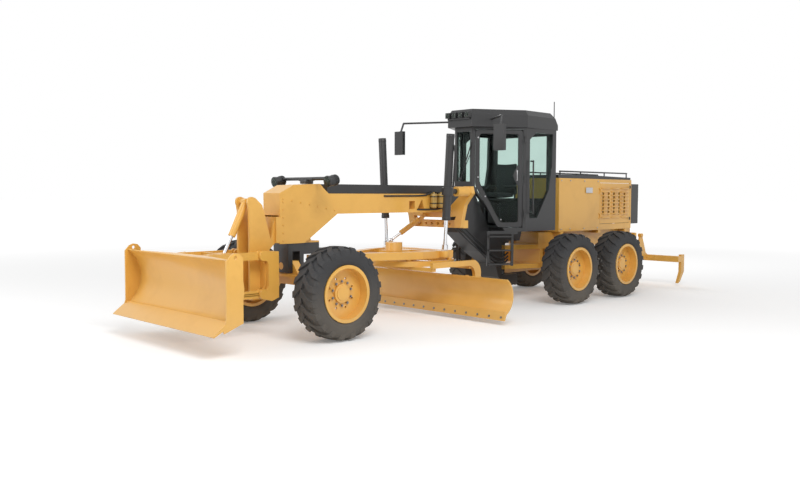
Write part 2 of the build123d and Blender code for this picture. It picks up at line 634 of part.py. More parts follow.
fork = None
bracket_y0, bracket_y1 = 735, kingpin_y - 80       # the bracket's wall stands clear of the knuckle's barrel
for x0 in (wheelbase - 95, wheelbase + 60):
    ear = along_x(lean_y, lean_z, 70, x0, x0 + 35)
    face = make_face(Polyline(*[(x0, y, z) for y, z in [(lean_y - 60, lean_z), (lean_y - 45, lean_bar_z + 10),
                                                       (lean_y + 10, lean_bar_z + 42), (bracket_y1, 800),
                                                       (bracket_y1, 420), (lean_y, 450)]], close=True))
    ear += extrude(face, 35, (1, 0, 0))
    fork = ear if fork is None else fork + ear
fork += block(wheelbase - 95, wheelbase + 95, bracket_y0, bracket_y1, 420, 800)
fork += block(wheelbase - 70, wheelbase + 70, bracket_y1, kingpin_y + 40, 740, 800)
fork += block(wheelbase - 70, wheelbase + 70, bracket_y1, kingpin_y + 40, 420, 480)
fork += along_x(lean_y, lean_z, lean_pin_r, wheelbase - 95, wheelbase + 95)
king_bore = along_z(wheelbase, kingpin_y, 32 + fit, 400, 820)
fork -= king_bore
bar_pin_r = 20
fork += along_x(lean_y, lean_bar_z, bar_pin_r, wheelbase + 90, wheelbase + lean_bar_x + 26)
save("lean_bracket_left", fork)
save("lean_bracket_right", other_side(fork))

knuckle = along_z(wheelbase, kingpin_y, 70, 480 + gap, 740 - gap)
knuckle += along_z(wheelbase, kingpin_y, 32, 420, 800)
knuckle += along_y(wheelbase, axle_z, spindle_r, kingpin_y, track_half + spindle_end)
save("knuckle_left", knuckle)
save("knuckle_right", other_side(knuckle))

bar_y = lean_y
bar_end = along_x(bar_y, lean_bar_z, 34, wheelbase + lean_bar_x - 18, wheelbase + lean_bar_x + 18)
lean_link = bar_end + other_side(bar_end)
lean_link += block(wheelbase + lean_bar_x - 18, wheelbase + lean_bar_x + 18, -bar_y, bar_y, lean_bar_z - 20, lean_bar_z + 20)
hole = along_x(bar_y, lean_bar_z, bar_pin_r + fit, wheelbase, wheelbase + 400)
lean_link = lean_link - hole - other_side(hole)
save("lean_bar", lean_link)

# ---- drawbar, circle, blade carrier, moldboard -------------------------------------------------
socket_ball = Sphere(ball_r).moved(Location((ball_x, 0, ball_z)))
stud = along_z(ball_x, 0, 40, ball_z, ball_z + ball_r + 20 - fit)
trunnion_r = 30
save("drawbar_ball", socket_ball + stud + along_y(ball_x, ball_z, trunnion_r, -104, 104))

cup = block(ball_x - 130, ball_x + 96, -105, 105, drawbar_z0, drawbar_z1)
cup -= Sphere(ball_r + fit).moved(Location((ball_x, 0, ball_z)))
cup -= along_z(ball_x, 0, ball_r + 20, ball_z, drawbar_z1 + 1)
cup -= along_y(ball_x, ball_z, trunnion_r + fit, -106, 106)
plan = flat_plate([(ball_x - 100, 100), (ball_x - 530, 190), (3900, drawbar_half), (drawbar_rear, drawbar_half),
                   (drawbar_rear, -drawbar_half), (3900, -drawbar_half), (ball_x - 530, -190), (ball_x - 100, -100)],
                  drawbar_z0, drawbar_z1)
plan -= flat_plate([(ball_x - 650, 70), (3860, 470), (3420, 470), (3420, -470), (3860, -470), (ball_x - 650, -70)],
                   drawbar_z0 - 1, drawbar_z1 + 1)
plan += block(3560, 3700, -500, 500, drawbar_z0, drawbar_z1)
drawbar = cup + plan
for side in (-1, 1):
    drawbar += block(lift_x - 70, lift_x + 70, *sorted((side * drawbar_half, side * (drawbar_half + 50))), 915, drawbar_z1)
    drawbar += along_z(lift_x, side * lift_ball_y, 62, 915, drawbar_z1)
# wear blocks between the drawbar and the circle
for angle in (45, 118, 242, 315):
    a = math.radians(angle)
    x, y = circle_x + (circle_r - circle_wall / 2) * math.cos(a), (circle_r - circle_wall / 2) * math.sin(a)
    drawbar += along_z(x, y, 45, circle_z1 + fit, drawbar_z0 + 1)
drawbar += along_z(circle_x + 330, 0, 130, drawbar_z1 - 1, 1130)
drawbar += block(circle_x + 100, circle_x + 500, -150, 150, drawbar_z0, drawbar_z1)
centre_low = Vector(circle_x, -420, 1130)
drawbar += block(centre_low.X - 90, centre_low.X + 90, centre_low.Y - 90, centre_low.Y + 60, drawbar_z0 + 40, drawbar_z1 - 1)
drawbar += along_z(centre_low.X, centre_low.Y, 18, drawbar_z1 - 2, centre_low.Z - 62)
save("drawbar", drawbar)

# the ring's teeth point inwards, where the drive's pinion meets them
tooth_root = circle_r - circle_wall + tooth_h
teeth = []
for tooth in range(tooth_count):
    for share, r in ((0.0, tooth_root), (0.22, tooth_root - tooth_h), (0.5, tooth_root - tooth_h), (0.72, tooth_root)):
        a = 2 * math.pi * (tooth + share) / tooth_count
        teeth.append((circle_x + r * math.cos(a), r * math.sin(a)))
ring = along_z(circle_x, 0, circle_r, circle_z0, circle_z1) - flat_plate(teeth, circle_z0 - 1, circle_z1 + 1)
arm_outline = [Polyline((3130, 0, circle_z1), (4050, 0, circle_z1), (4050, 0, circle_z0), (3240, 0, circle_z0)),
               ThreePointArc((3240, 0, circle_z0), (3150, 0, 730), (3124, 0, 600)),
               Polyline((3124, 0, 600), (3140, 0, 330), (3160, 0, 260)),
               ThreePointArc((3160, 0, 260), (3110, 0, 176), (3012, 0, 210)),
               Polyline((3012, 0, 210), (2990, 0, 320), (2985, 0, 640)),
               ThreePointArc((2985, 0, 640), (3030, 0, 800), (3130, 0, circle_z1))]
arm_plate = Pos(0, arm_y - arm_t / 2, 0) * extrude(make_face(arm_outline), arm_t, (0, 1, 0))
arm_plate -= along_y(tip_x, tip_z, 30 + fit, arm_y - 100, arm_y + 100)
circle = ring + arm_plate + other_side(arm_plate)
for x in (4000, 3180):
    circle += block(x - 40, x + 40, -arm_y, arm_y, circle_z0 - 50, circle_z0 + 2)
save("circle", circle)

# carrier: two side brackets on the tip pins, joined by a tube, with shoes for the rails
carrier_y = arm_y - arm_t / 2 - gap
rail_x0, rail_x1 = 3252, 3292
bracket = side_plate([(tip_x - 50, tip_z + 40), (tip_x - 50, tip_z - 60), (3230, tip_z - 90), (3240, 640),
                      (3200, 640), (3140, 420)], carrier_y - 36, carrier_y)
bracket += along_y(tip_x, tip_z, 30, carrier_y - 36, arm_y + arm_t / 2)
for z in (300, 540):
    bracket += block(3190, rail_x0 - fit, carrier_y - 36, carrier_y, z - 14, z + 64)
    bracket += block(3190, rail_x1 - 12, carrier_y - 36, carrier_y, z - 14, z - fit)
    bracket += block(3190, rail_x1 - 12, carrier_y - 36, carrier_y, z + 50 + fit, z + 64)
carrier = bracket + other_side(bracket) + along_y(3175, 470, 32, -carrier_y + 10, carrier_y - 10)
# side-shift cylinder: its barrel is clamped to the carrier's tube, its rod ends at the moldboard's rib
carrier += along_y(shift_rod_x, shift_rod_z, shift_barrel_r, -carrier_y + 30, 300)
carrier -= along_y(shift_rod_x, shift_rod_z, shift_rod_r + fit, -carrier_y + 60, 301)
carrier -= along_y(shift_rod_x, shift_rod_z, shift_rod_r + 12, 600, carrier_y + 1)
save("blade_carrier", carrier)

face_low, face_top = (blade_low[0] - 8, blade_low[1] + 90), blade_top
front_arc = ThreePointArc((face_low[0], 0, face_low[1]), (blade_mid[0], 0, blade_mid[1]), (face_top[0], 0, face_top[1]))
back_arc = ThreePointArc((face_top[0] - blade_t, 0, face_top[1] + 6), (blade_mid[0] - blade_t, 0, blade_mid[1]),
                         (face_low[0] - blade_t, 0, face_low[1] - 6))
outline = [front_arc, Line(front_arc @ 1, back_arc @ 0), back_arc, Line(back_arc @ 1, front_arc @ 0)]
board = Pos(0, -blade_half, 0) * extrude(make_face(outline), 2 * blade_half, (0, 1, 0))
soil_side = make_face([front_arc, Polyline(front_arc @ 1, (blade_top[0] + 400, 0, blade_top[1]),
                                           (blade_top[0] + 400, 0, face_low[1]), front_arc @ 0)])
soil_side = Pos(0, -blade_half, 0) * extrude(soil_side, 2 * blade_half, (0, 1, 0))
edge_back = face_low[0] - blade_t
edge = side_plate([(blade_low[0], blade_low[1]), (blade_low[0] + 14, blade_low[1]), (face_low[0] + 6, face_low[1] + 40),
                   (edge_back, face_low[1] + 40), (edge_back, face_low[1] - 10)], -blade_half, blade_half)
rails_back = block(rail_x0, rail_x1, -1500, 1500, 300, 350) + block(rail_x0, rail_x1, -1500, 1500, 540, 590)
ribs = None
for y in (-1480, -760, 0, 760, 1480):
    rib = side_plate([(rail_x1 - 6, 280), (rail_x1 - 6, 600), (3420, 640), (3440, 200)], y - 15, y + 15)
    rails_back += rib - soil_side
shift_lug_y = 1480
rails_back += block(3180, rail_x1 + 4, shift_lug_y - 25, shift_lug_y + 25, 370, 450)
rails_back += along_y(shift_rod_x, shift_rod_z, shift_rod_r, -300, shift_lug_y)
moldboard = fuse(board, edge, rails_back)
save("moldboard", moldboard)

# ---- lift cylinders and centre-shift cylinder -----------------------------------------------------
lift_low = Vector(lift_x, lift_ball_y, lift_ball_z)
lift_pivot = Vector(lift_x, lift_top_y, lift_pivot_z)
lift_dir = (lift_pivot - lift_low).normalized()


def on_lift(z):
    return tuple(lift_low + lift_dir * ((z - lift_ball_z) / lift_dir.Z))


barrel = bar(on_lift(lift_low_z), on_lift(lift_top_z), barrel_r)
barrel -= bar(on_lift(lift_low_z - 5), on_lift(lift_top_z - 60), rod_r + fit)
barrel += bar(on_lift(lift_pivot_z - 60), on_lift(lift_pivot_z + 60), barrel_r + 25) - bar(
    on_lift(lift_low_z - 5), on_lift(lift_top_z - 60), rod_r + fit)
barrel += along_x(lift_top_y, lift_pivot_z, 38, arm_x1 + 60 + fit, lift_x - barrel_r - 10)
save("lift_barrel_left", barrel)
save("lift_barrel_right", other_side(barrel))
rod = bar(on_lift(lift_end_z), on_lift(2180), rod_r)
rod += bar(on_lift(lift_end_z), on_lift(lift_end_z + 70), 46)
save("lift_rod_left", rod)
save("lift_rod_right", other_side(rod))

centre_dir = (centre_high - centre_low).normalized()
centre_len = (centre_high - centre_low).length
centre_pitch = Vector(centre_dir.Y, -centre_dir.X, 0).normalized()
centre_r = 42
yoke_pin_r, yoke_half = 14, 30


def on_centre(distance):
    return tuple(centre_high - centre_dir * distance)


def across_centre(radius, half, ahead=0):
    """A round bar through the yoke's middle, level and square to the cylinder."""
    middle = centre_high - centre_dir * ahead
    return bar(tuple(middle - centre_pitch * half), tuple(middle + centre_pitch * half), radius)


yoke = along_z(centre_high.X, centre_high.Y, 27, centre_high.Z - 34, centre_high.Z + 34)
yoke += across_centre(yoke_pin_r, 2 * yoke_half - 8)
save("centre_shift_yoke", yoke - along_z(centre_high.X, centre_high.Y, 12 + fit, centre_high.Z - 60, centre_high.Z + 60))
barrel = bar(on_centre(74), on_centre(centre_len - 200), centre_r) + bar(on_centre(72), on_centre(88), 54)
fork_plane = Plane(origin=tuple(centre_high), x_dir=tuple(centre_dir), z_dir=tuple(centre_pitch))
cheek = Cylinder(24, 14) + Pos(-40, 0, 0) * Box(80, 32, 14)
for side in (-1, 1):
    barrel += fork_plane * (Pos(0, 0, side * (yoke_half + 11)) * cheek)
barrel -= across_centre(yoke_pin_r + fit, 2 * yoke_half + 10)
rod = bar(on_centre(centre_len - 390), on_centre(centre_len - 30), 22) + Sphere(40).moved(Location(tuple(centre_low)))
save("centre_shift_rod", rod)
save("centre_shift_barrel", barrel - bar(on_centre(100), on_centre(centre_len), 22 + fit))

# ---- ripper cylinder ---------------------------------------------------------------------------------
rip_top = Vector(ripper_top_x, 0, ripper_top_z)
rip_eye = Vector(ripper_eye_x, 0, ripper_eye_z)
rip_dir = (rip_eye - rip_top).normalized()
rip_len = (rip_eye - rip_top).length


def on_rip(distance):
    return tuple(rip_top + rip_dir * distance)


rip_barrel = along_y(ripper_top_x, ripper_top_z, 42, -26, 26) + bar(on_rip(20), on_rip(300), 40)
rip_barrel -= along_y(ripper_top_x, ripper_top_z, 24 + fit, -60, 60)
rip_barrel -= bar(on_rip(60), on_rip(305), 18 + fit)
save("ripper_barrel", rip_barrel)
rip_rod = bar(on_rip(180), on_rip(rip_len - 30), 18) + along_y(ripper_eye_x, ripper_eye_z, 38, -38, 38)
rip_rod -= along_y(ripper_eye_x, ripper_eye_z, 24 + fit, -41, 41)
save("ripper_rod", rip_rod)

# ---- dozer: mount, parallel arms, blade, lift cylinder -------------------------------------------------
mount_y = 150
# outlines (forward of the nose's front, height)
tower = [(50, 1560), (50, 1215), (140, 1130), (140, 480), (410, 480), (450, 620), (450, 1640),
         (470, 1740), (440, 1810), (360, 1815), (250, 1720), (120, 1270)]
tower = [(nose_front + ahead, z) for ahead, z in tower]
plates = []
for y in (-mount_y, mount_y - 35):
    plates.append(side_plate(tower, y, y + 35))
    plates.append(along_y(tower_pin_x, tower_pin_z, 66, y, y + 35))
back_plate = block(nose_front + fit, nose_front + 60, -nose_half, nose_half, 1215, 1560)
cross_box = block(nose_front + 150, nose_front + 290, -dozer_side_y - 60, dozer_side_y + 60, 640, 1000)
claw = [(140, 1120), (370, 1130), (430, 1070), (370, 1010), (320, 1000), (300, 960), (300, 680),
        (320, 640), (370, 635), (430, 575), (370, 515), (250, 480), (140, 520)]
claw = [(nose_front + ahead, z) for ahead, z in claw]
claws = []
for y0 in (dozer_side_y + 25, -dozer_side_y - 60, dozer_side_y - 60, -dozer_side_y + 25):
    claws.append(side_plate(claw, y0, y0 + 35))
    for z in (dozer_low_pin_z, dozer_high_pin_z):
        claws.append(along_y(dozer_pin_x, z, 64, y0, y0 + 35))
dozer_mount = fuse(back_plate, cross_box, *plates, *claws)
dozer_mount += block(nose_front + 140, nose_front + 410, -mount_y, mount_y, 480, 520)
dozer_pin = 28
for z in (dozer_low_pin_z, dozer_high_pin_z):
    for side in (-1, 1):
        dozer_mount += along_y(dozer_pin_x, z, dozer_pin, *sorted((side * (dozer_side_y - 60), side * (dozer_side_y + 60))))
dozer_mount += along_y(tower_pin_x, tower_pin_z, 26, -mount_y, mount_y)
save("dozer_mount", dozer_mount)

arm_half = 19
for name, z in (("dozer_arms", dozer_low_pin_z), ("dozer_links", dozer_high_pin_z)):
    pair = None
    for y in (-dozer_side_y, dozer_side_y):
        arm = side_plate([(dozer_pin_x, z - 50), (dozer_arm_x, z - 50), (dozer_arm_x, z + 50), (dozer_pin_x, z + 50)],
                         y - arm_half, y + arm_half)
        arm += along_y(dozer_pin_x, z, 50, y - arm_half, y + arm_half)
        arm += along_y(dozer_arm_x, z, 50, y - arm_half, y + arm_half)
        pair = arm if pair is None else pair + arm
    if name == "dozer_arms":
        pair += block(dozer_pin_x + 340, dozer_pin_x + 420, -dozer_side_y, dozer_side_y, z - 40, z + 40)
    else:
        pair += block(dozer_rod_x + 100, dozer_rod_x + 150, -dozer_side_y, dozer_side_y, z - 40, z + 40)
        for y in (-62, 32):
            pair += side_plate([(dozer_rod_x + 110, z - 40), (dozer_rod_x + 110, z + 40), (dozer_rod_x - 40, dozer_rod_z + 50),
                                (dozer_rod_x - 40, dozer_rod_z - 50)], y, y + 30)
    for x in (dozer_pin_x, dozer_arm_x):
        pair -= along_y(x, z, dozer_pin + fit, -500, 500)
    save(name, pair)

doz_low, doz_mid, doz_top = (dozer_arm_x + 320, 420), (dozer_arm_x + 132, 760), (dozer_arm_x + 310, 1120)
doz_t = 20
doz_arc = ThreePointArc((doz_low[0], 0, doz_low[1]), (doz_mid[0], 0, doz_mid[1]), (doz_top[0], 0, doz_top[1]))
doz_back = ThreePointArc((doz_top[0] - doz_t, 0, doz_top[1] + 8), (doz_mid[0] - doz_t, 0, doz_mid[1]),
                         (doz_low[0] - doz_t, 0, doz_low[1] - 8))
outline = [doz_arc, Line(doz_arc @ 1, doz_back @ 0), doz_back, Line(doz_back @ 1, doz_arc @ 0)]
skin = Pos(0, -dozer_half, 0) * extrude(make_face(outline), 2 * dozer_half, (0, 1, 0))
doz_edge = side_plate([(dozer_arm_x + 520, 286), (dozer_arm_x + 508, 274), (dozer_arm_x + 270, 400), (dozer_arm_x + 300, 440), (dozer_arm_x + 320, 440)], -dozer_half, dozer_half)
end_plate = side_plate([(dozer_arm_x + 125, 400), (dozer_arm_x + 125, 1140), (dozer_arm_x + 170, 1190), (dozer_arm_x + 230, 1200), (dozer_arm_x + 280, 1180), (dozer_arm_x + 344, 1110), (dozer_arm_x + 344, 460),
                        (dozer_arm_x + 385, 330), (dozer_arm_x + 370, 306)], dozer_half - 24, dozer_half)
eye_x, eye_z, eye_r = dozer_arm_x + 226, 1150, 22
end_plate -= along_y(eye_x, eye_z, eye_r, dozer_half - 60, dozer_half + 10)
top_shelf = flat_plate([(dozer_arm_x + 290, -dozer_half + 20), (dozer_arm_x + 290, dozer_half - 20), (dozer_arm_x + 230, dozer_half - 20), (dozer_arm_x + 80, 420),
                        (dozer_arm_x + 80, -420), (dozer_arm_x + 230, -dozer_half + 20)], 1095, 1115)
soil = make_face([doz_arc, Polyline(doz_arc @ 1, (dozer_arm_x + 670, 0, doz_top[1]), (dozer_arm_x + 670, 0, doz_low[1]), doz_arc @ 0)])
soil = Pos(0, -dozer_half, 0) * extrude(soil, 2 * dozer_half, (0, 1, 0))
blade = fuse(skin, doz_edge, end_plate, other_side(end_plate), top_shelf - soil)
for y in (-dozer_side_y - 60, -dozer_side_y + 25, dozer_side_y - 60, dozer_side_y + 25):
    web = side_plate([(dozer_arm_x - 40, 520), (dozer_arm_x - 60, 575), (dozer_arm_x - 40, 640), (dozer_arm_x + 50, 760), (dozer_arm_x - 40, 1010), (dozer_arm_x - 60, 1070), (dozer_arm_x - 40, 1125),
                      (dozer_arm_x + 270, 1100), (dozer_arm_x + 270, 450)], y, y + 35)
    blade += web - soil
for z in (dozer_low_pin_z, dozer_high_pin_z):
    for side in (-1, 1):
        blade += along_y(dozer_arm_x, z, dozer_pin, *sorted((side * (dozer_side_y - 60), side * (dozer_side_y + 60))))
save("dozer_blade", blade)

doz_hinge = Vector(tower_pin_x, 0, tower_pin_z)
doz_eye = Vector(dozer_rod_x, 0, dozer_rod_z)
doz_dir = (doz_eye - doz_hinge).normalized()
doz_len = (doz_eye - doz_hinge).length


def on_dozer(distance):
    return tuple(doz_hinge + doz_dir * distance)


doz_barrel = along_y(tower_pin_x, tower_pin_z, 46, -50, 50) + bar(on_dozer(20), on_dozer(490), 48)
doz_barrel -= along_y(tower_pin_x, tower_pin_z, 26 + fit, -80, 80)
doz_barrel -= bar(on_dozer(60), on_dozer(495), 24 + fit)
save("dozer_barrel", doz_barrel)
doz_rod = bar(on_dozer(300), on_dozer(doz_len - 30), 24) + along_y(dozer_rod_x, dozer_rod_z, 42, -26, 26)
doz_rod -= along_y(dozer_rod_x, dozer_rod_z, 24 + fit, -40, 40)
save("dozer_rod", doz_rod)
print(len(written), "nodes")
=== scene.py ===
import json
import math
import bmesh
import bpy
from mathutils import Matrix, Vector


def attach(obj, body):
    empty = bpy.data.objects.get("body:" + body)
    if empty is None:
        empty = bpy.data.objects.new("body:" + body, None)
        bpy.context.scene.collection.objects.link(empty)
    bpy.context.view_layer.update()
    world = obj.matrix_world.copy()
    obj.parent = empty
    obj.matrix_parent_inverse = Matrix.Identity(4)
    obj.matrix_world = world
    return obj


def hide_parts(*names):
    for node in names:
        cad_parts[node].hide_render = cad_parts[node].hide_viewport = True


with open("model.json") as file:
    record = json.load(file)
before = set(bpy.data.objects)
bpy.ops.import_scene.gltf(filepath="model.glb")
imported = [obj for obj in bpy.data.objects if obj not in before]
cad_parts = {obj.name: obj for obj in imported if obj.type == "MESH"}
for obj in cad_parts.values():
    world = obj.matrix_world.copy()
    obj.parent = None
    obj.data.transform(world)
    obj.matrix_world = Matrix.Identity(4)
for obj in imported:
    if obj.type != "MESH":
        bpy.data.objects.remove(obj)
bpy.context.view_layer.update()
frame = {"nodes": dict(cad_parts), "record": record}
nodes = frame["nodes"]
print("frame loaded:", len(nodes), "nodes")

# stage, light and camera
stageSetup = {
    "floorSize": 400.0,
    "floorColour": (0.90, 0.90, 0.90, 1.0),
    "floorGlow": 0.16,        # what the camera sees on top of the lit floor, near the machine
    "farGlow": 0.70,          # and far from it, where the lamps don't reach
    "nearEdge": 5.0,
    "farEdge": 26.0,
    "backdrop": 1.0,          # what the camera sees past the floor
    "worldLight": 0.52,
    "keyPower": 880.0,
    "fillPower": 260.0,
    "rimPower": 260.0,
}
cameraSetup = {
    "place": (10.262, 9.095, 1.865),
    "heading": 226.08,        # degrees from +X towards +Y
    "pitch": -3.2,
    "roll": 0.16,
    "lens": 36.82,
}


def onlyForEyes(tree, plain, seen):
    # the plain shader lights the object, the other is what camera, gloss and glass see
    rays = tree.nodes.new("ShaderNodeLightPath")
    glossy = tree.nodes.new("ShaderNodeMath")
    glossy.operation = "MAXIMUM"
    both = tree.nodes.new("ShaderNodeMath")
    both.operation = "MAXIMUM"
    mix = tree.nodes.new("ShaderNodeMixShader")
    tree.links.new(rays.outputs["Is Camera Ray"], glossy.inputs[0])
    tree.links.new(rays.outputs["Is Glossy Ray"], glossy.inputs[1])
    tree.links.new(glossy.outputs[0], both.inputs[0])
    tree.links.new(rays.outputs["Is Transmission Ray"], both.inputs[1])
    tree.links.new(both.outputs[0], mix.inputs["Fac"])
    tree.links.new(plain, mix.inputs[1])
    tree.links.new(seen, mix.inputs[2])
    return mix.outputs[0]


def makeStage():
    world = bpy.data.worlds.new("softSky")
    world.use_nodes = True
    tree = world.node_tree
    tree.nodes.clear()
    light = tree.nodes.new("ShaderNodeBackground")
    light.inputs["Color"].default_value = (1.0, 1.0, 1.0, 1.0)
    light.inputs["Strength"].default_value = stageSetup["worldLight"]
    seen = tree.nodes.new("ShaderNodeBackground")
    seen.inputs["Color"].default_value = (1.0, 1.0, 1.0, 1.0)
    seen.inputs["Strength"].default_value = stageSetup["backdrop"]
    out = tree.nodes.new("ShaderNodeOutputWorld")
    tree.links.new(onlyForEyes(tree, light.outputs[0], seen.outputs[0]), out.inputs["Surface"])
    bpy.context.scene.world = world

    bm = bmesh.new()
    bmesh.ops.create_grid(bm, x_segments=2, y_segments=2, size=stageSetup["floorSize"] / 2)
    mesh = bpy.data.meshes.new("floor")
    bm.to_mesh(mesh)
    bm.free()
    floor = bpy.data.objects.new("floor", mesh)
    bpy.context.scene.collection.objects.link(floor)
    paint = bpy.data.materials.new("floorPaint")
    paint.use_nodes = True
    tree = paint.node_tree
    body = tree.nodes["Principled BSDF"]
    body.inputs["Base Color"].default_value = stageSetup["floorColour"]
    body.inputs["Roughness"].default_value = 0.9
    body.inputs["Specular IOR Level"].default_value = 0.0
    place = tree.nodes.new("ShaderNodeTexCoord")
    reach = tree.nodes.new("ShaderNodeVectorMath")
    reach.operation = "LENGTH"
    tree.links.new(place.outputs["Object"], reach.inputs[0])
    fade = tree.nodes.new("ShaderNodeMapRange")
    fade.inputs["From Min"].default_value = stageSetup["nearEdge"]
    fade.inputs["From Max"].default_value = stageSetup["farEdge"]
    fade.inputs["To Min"].default_value = stageSetup["floorGlow"]
    fade.inputs["To Max"].default_value = stageSetup["farGlow"]
    tree.links.new(reach.outputs["Value"], fade.inputs["Value"])
    glow = tree.nodes.new("ShaderNodeEmission")
    tree.links.new(fade.outputs["Result"], glow.inputs["Strength"])
    lit = tree.nodes.new("ShaderNodeAddShader")
    tree.links.new(body.outputs[0], lit.inputs[0])
    tree.links.new(glow.outputs[0], lit.inputs[1])
    seenFloor = onlyForEyes(tree, body.outputs[0], lit.outputs[0])
    tree.links.new(seenFloor, tree.nodes["Material Output"].inputs["Surface"])
    mesh.materials.append(paint)
    return floor


def makeLight(name, place, aim, power, size):
    lamp = bpy.data.lights.new(name, "AREA")
    lamp.energy = power
    lamp.shape = "RECTANGLE"
    lamp.size, lamp.size_y = size
    holder = bpy.data.objects.new(name, lamp)
    bpy.context.scene.collection.objects.link(holder)
    holder.location = place
    holder.rotation_mode = "QUATERNION"
    holder.rotation_quaternion = (Vector(aim) - Vector(place)).to_track_quat("-Z", "Y")
    return holder


def makeCamera():
    camera = bpy.data.cameras.new("camera")
    camera.lens = cameraSetup["lens"]
    camera.sensor_width = 36.0
    camera.clip_start, camera.clip_end = 0.1, 500.0
    holder = bpy.data.objects.new("camera", camera)
    bpy.context.scene.collection.objects.link(holder)
    heading, pitch = math.radians(cameraSetup["heading"]), math.radians(cameraSetup["pitch"])
    look = Vector((math.cos(heading) * math.cos(pitch), math.sin(heading) * math.cos(pitch), math.sin(pitch)))
    turned = look.to_track_quat("-Z", "Y").to_matrix() @ Matrix.Rotation(math.radians(cameraSetup["roll"]), 3, "Z")
    holder.location = cameraSetup["place"]
    holder.rotation_mode = "QUATERNION"
    holder.rotation_quaternion = turned.to_quaternion()
    bpy.context.scene.camera = holder


makeStage()
makeCamera()
makeLight("keyLight", (6.5, 9.0, 9.5), (0.5, 0.0, 1.2), stageSetup["keyPower"], (7.0, 5.0))
makeLight("fillLight", (12.0, -4.0, 5.5), (1.0, 0.0, 1.0), stageSetup["fillPower"], (6.0, 5.0))
makeLight("backLight", (-9.0, -6.0, 7.0), (-1.0, 0.0, 1.5), stageSetup["rimPower"], (6.0, 4.0))
bpy.context.scene.view_settings.view_transform = "Standard"
print("stage, light and camera ready")

# shared shader groups


def newGroup(name, inputs, outputs):
    group = bpy.data.node_groups.new(name, "ShaderNodeTree")
    for label, kind, value in inputs:
        socket = group.interface.new_socket(label, in_out="INPUT", socket_type=kind)
        socket.default_value = value
    for label, kind in outputs:
        group.interface.new_socket(label, in_out="OUTPUT", socket_type=kind)
    return group, group.nodes.new("NodeGroupInput"), group.nodes.new("NodeGroupOutput")


def mathNode(tree, operation, a, b=None, clamp=False):
    node = tree.nodes.new("ShaderNodeMath")
    node.operation = operation
    node.use_clamp = clamp
    for index, value in enumerate((a, b)):
        if value is None:
            continue
        if isinstance(value, (int, float)):
            node.inputs[index].default_value = value
        else:
            tree.links.new(value, node.inputs[index])
    return node.outputs[0]


def makeWeathering():
    # fine grain for bump and roughness, soft blotches for colour, and dust that gathers low down
    group, given, made = newGroup(
        "weathering",
        [("Grain Size", "NodeSocketFloat", 400.0), ("Blotch Size", "NodeSocketFloat", 1.6),
         ("Dust Height", "NodeSocketFloat", 0.9), ("Dust", "NodeSocketFloat", 0.25)],
        [("Grain", "NodeSocketFloat"), ("Blotch", "NodeSocketFloat"), ("Dust", "NodeSocketFloat")])
    place = group.nodes.new("ShaderNodeTexCoord")
    grain = group.nodes.new("ShaderNodeTexNoise")
    grain.inputs["Detail"].default_value = 2.0
    group.links.new(place.outputs["Object"], grain.inputs["Vector"])
    group.links.new(given.outputs["Grain Size"], grain.inputs["Scale"])
    blotch = group.nodes.new("ShaderNodeTexNoise")
    blotch.inputs["Detail"].default_value = 4.0
    blotch.inputs["Roughness"].default_value = 0.6
    group.links.new(place.outputs["Object"], blotch.inputs["Vector"])
    group.links.new(given.outputs["Blotch Size"], blotch.inputs["Scale"])
    apart = group.nodes.new("ShaderNodeSeparateXYZ")
    group.links.new(place.outputs["Object"], apart.inputs[0])
    fade = mathNode(group, "DIVIDE", apart.outputs["Z"], given.outputs["Dust Height"])
    low = mathNode(group, "SUBTRACT", 1.0, fade, clamp=True)
    patchy = mathNode(group, "MULTIPLY", low, blotch.outputs["Fac"])
    dust = mathNode(group, "MULTIPLY", patchy, given.outputs["Dust"], clamp=True)
    group.links.new(grain.outputs["Fac"], made.inputs["Grain"])
    group.links.new(blotch.outputs["Fac"], made.inputs["Blotch"])
    group.links.new(dust, made.inputs["Dust"])
    return group


weathering = makeWeathering()

# one row per finish: colour, how far blotches lighten and darken it, roughness range, bump and gloss
finishes = {
    "yellowPaint": {"colour": (0.80, 0.44, 0.085), "dark": (0.69, 0.36, 0.060), "rough": (0.30, 0.42),
                    "grain": 90.0, "bump": 0.012, "coat": 0.35, "dust": 0.30},
    "blackPaint": {"colour": (0.021, 0.021, 0.022), "dark": (0.014, 0.014, 0.015), "rough": (0.34, 0.50),
                   "grain": 120.0, "bump": 0.015, "coat": 0.15, "dust": 0.15},
    "blackPlastic": {"colour": (0.029, 0.029, 0.030), "dark": (0.020, 0.020, 0.021), "rough": (0.50, 0.66),
                     "grain": 260.0, "bump": 0.05, "coat": 0.0, "dust": 0.12},
    "tyreRubber": {"colour": (0.036, 0.036, 0.038), "dark": (0.024, 0.024, 0.025), "rough": (0.66, 0.85),
                   "grain": 150.0, "bump": 0.10, "coat": 0.0, "dust": 0.45},
    "hoseRubber": {"colour": (0.022, 0.022, 0.023), "dark": (0.015, 0.015, 0.015), "rough": (0.42, 0.58),
                   "grain": 500.0, "bump": 0.08, "coat": 0.0, "dust": 0.10},
    "sealRubber": {"colour": (0.015, 0.015, 0.015), "dark": (0.010, 0.010, 0.010), "rough": (0.55, 0.70),
                   "grain": 300.0, "bump": 0.04, "coat": 0.0, "dust": 0.05},
    "goldPaint": {"colour": (0.55, 0.36, 0.09), "dark": (0.42, 0.26, 0.06), "rough": (0.30, 0.42),
                  "grain": 140.0, "bump": 0.015, "coat": 0.3, "dust": 0.10},
    "engineGrey": {"colour": (0.12, 0.12, 0.125), "dark": (0.07, 0.07, 0.075), "rough": (0.55, 0.75),
                   "grain": 60.0, "bump": 0.12, "coat": 0.0, "dust": 0.20},
    "seatCloth": {"colour": (0.045, 0.047, 0.050), "dark": (0.025, 0.026, 0.028), "rough": (0.85, 0.95),
                  "grain": 700.0, "bump": 0.25, "coat": 0.0, "dust": 0.05},
}


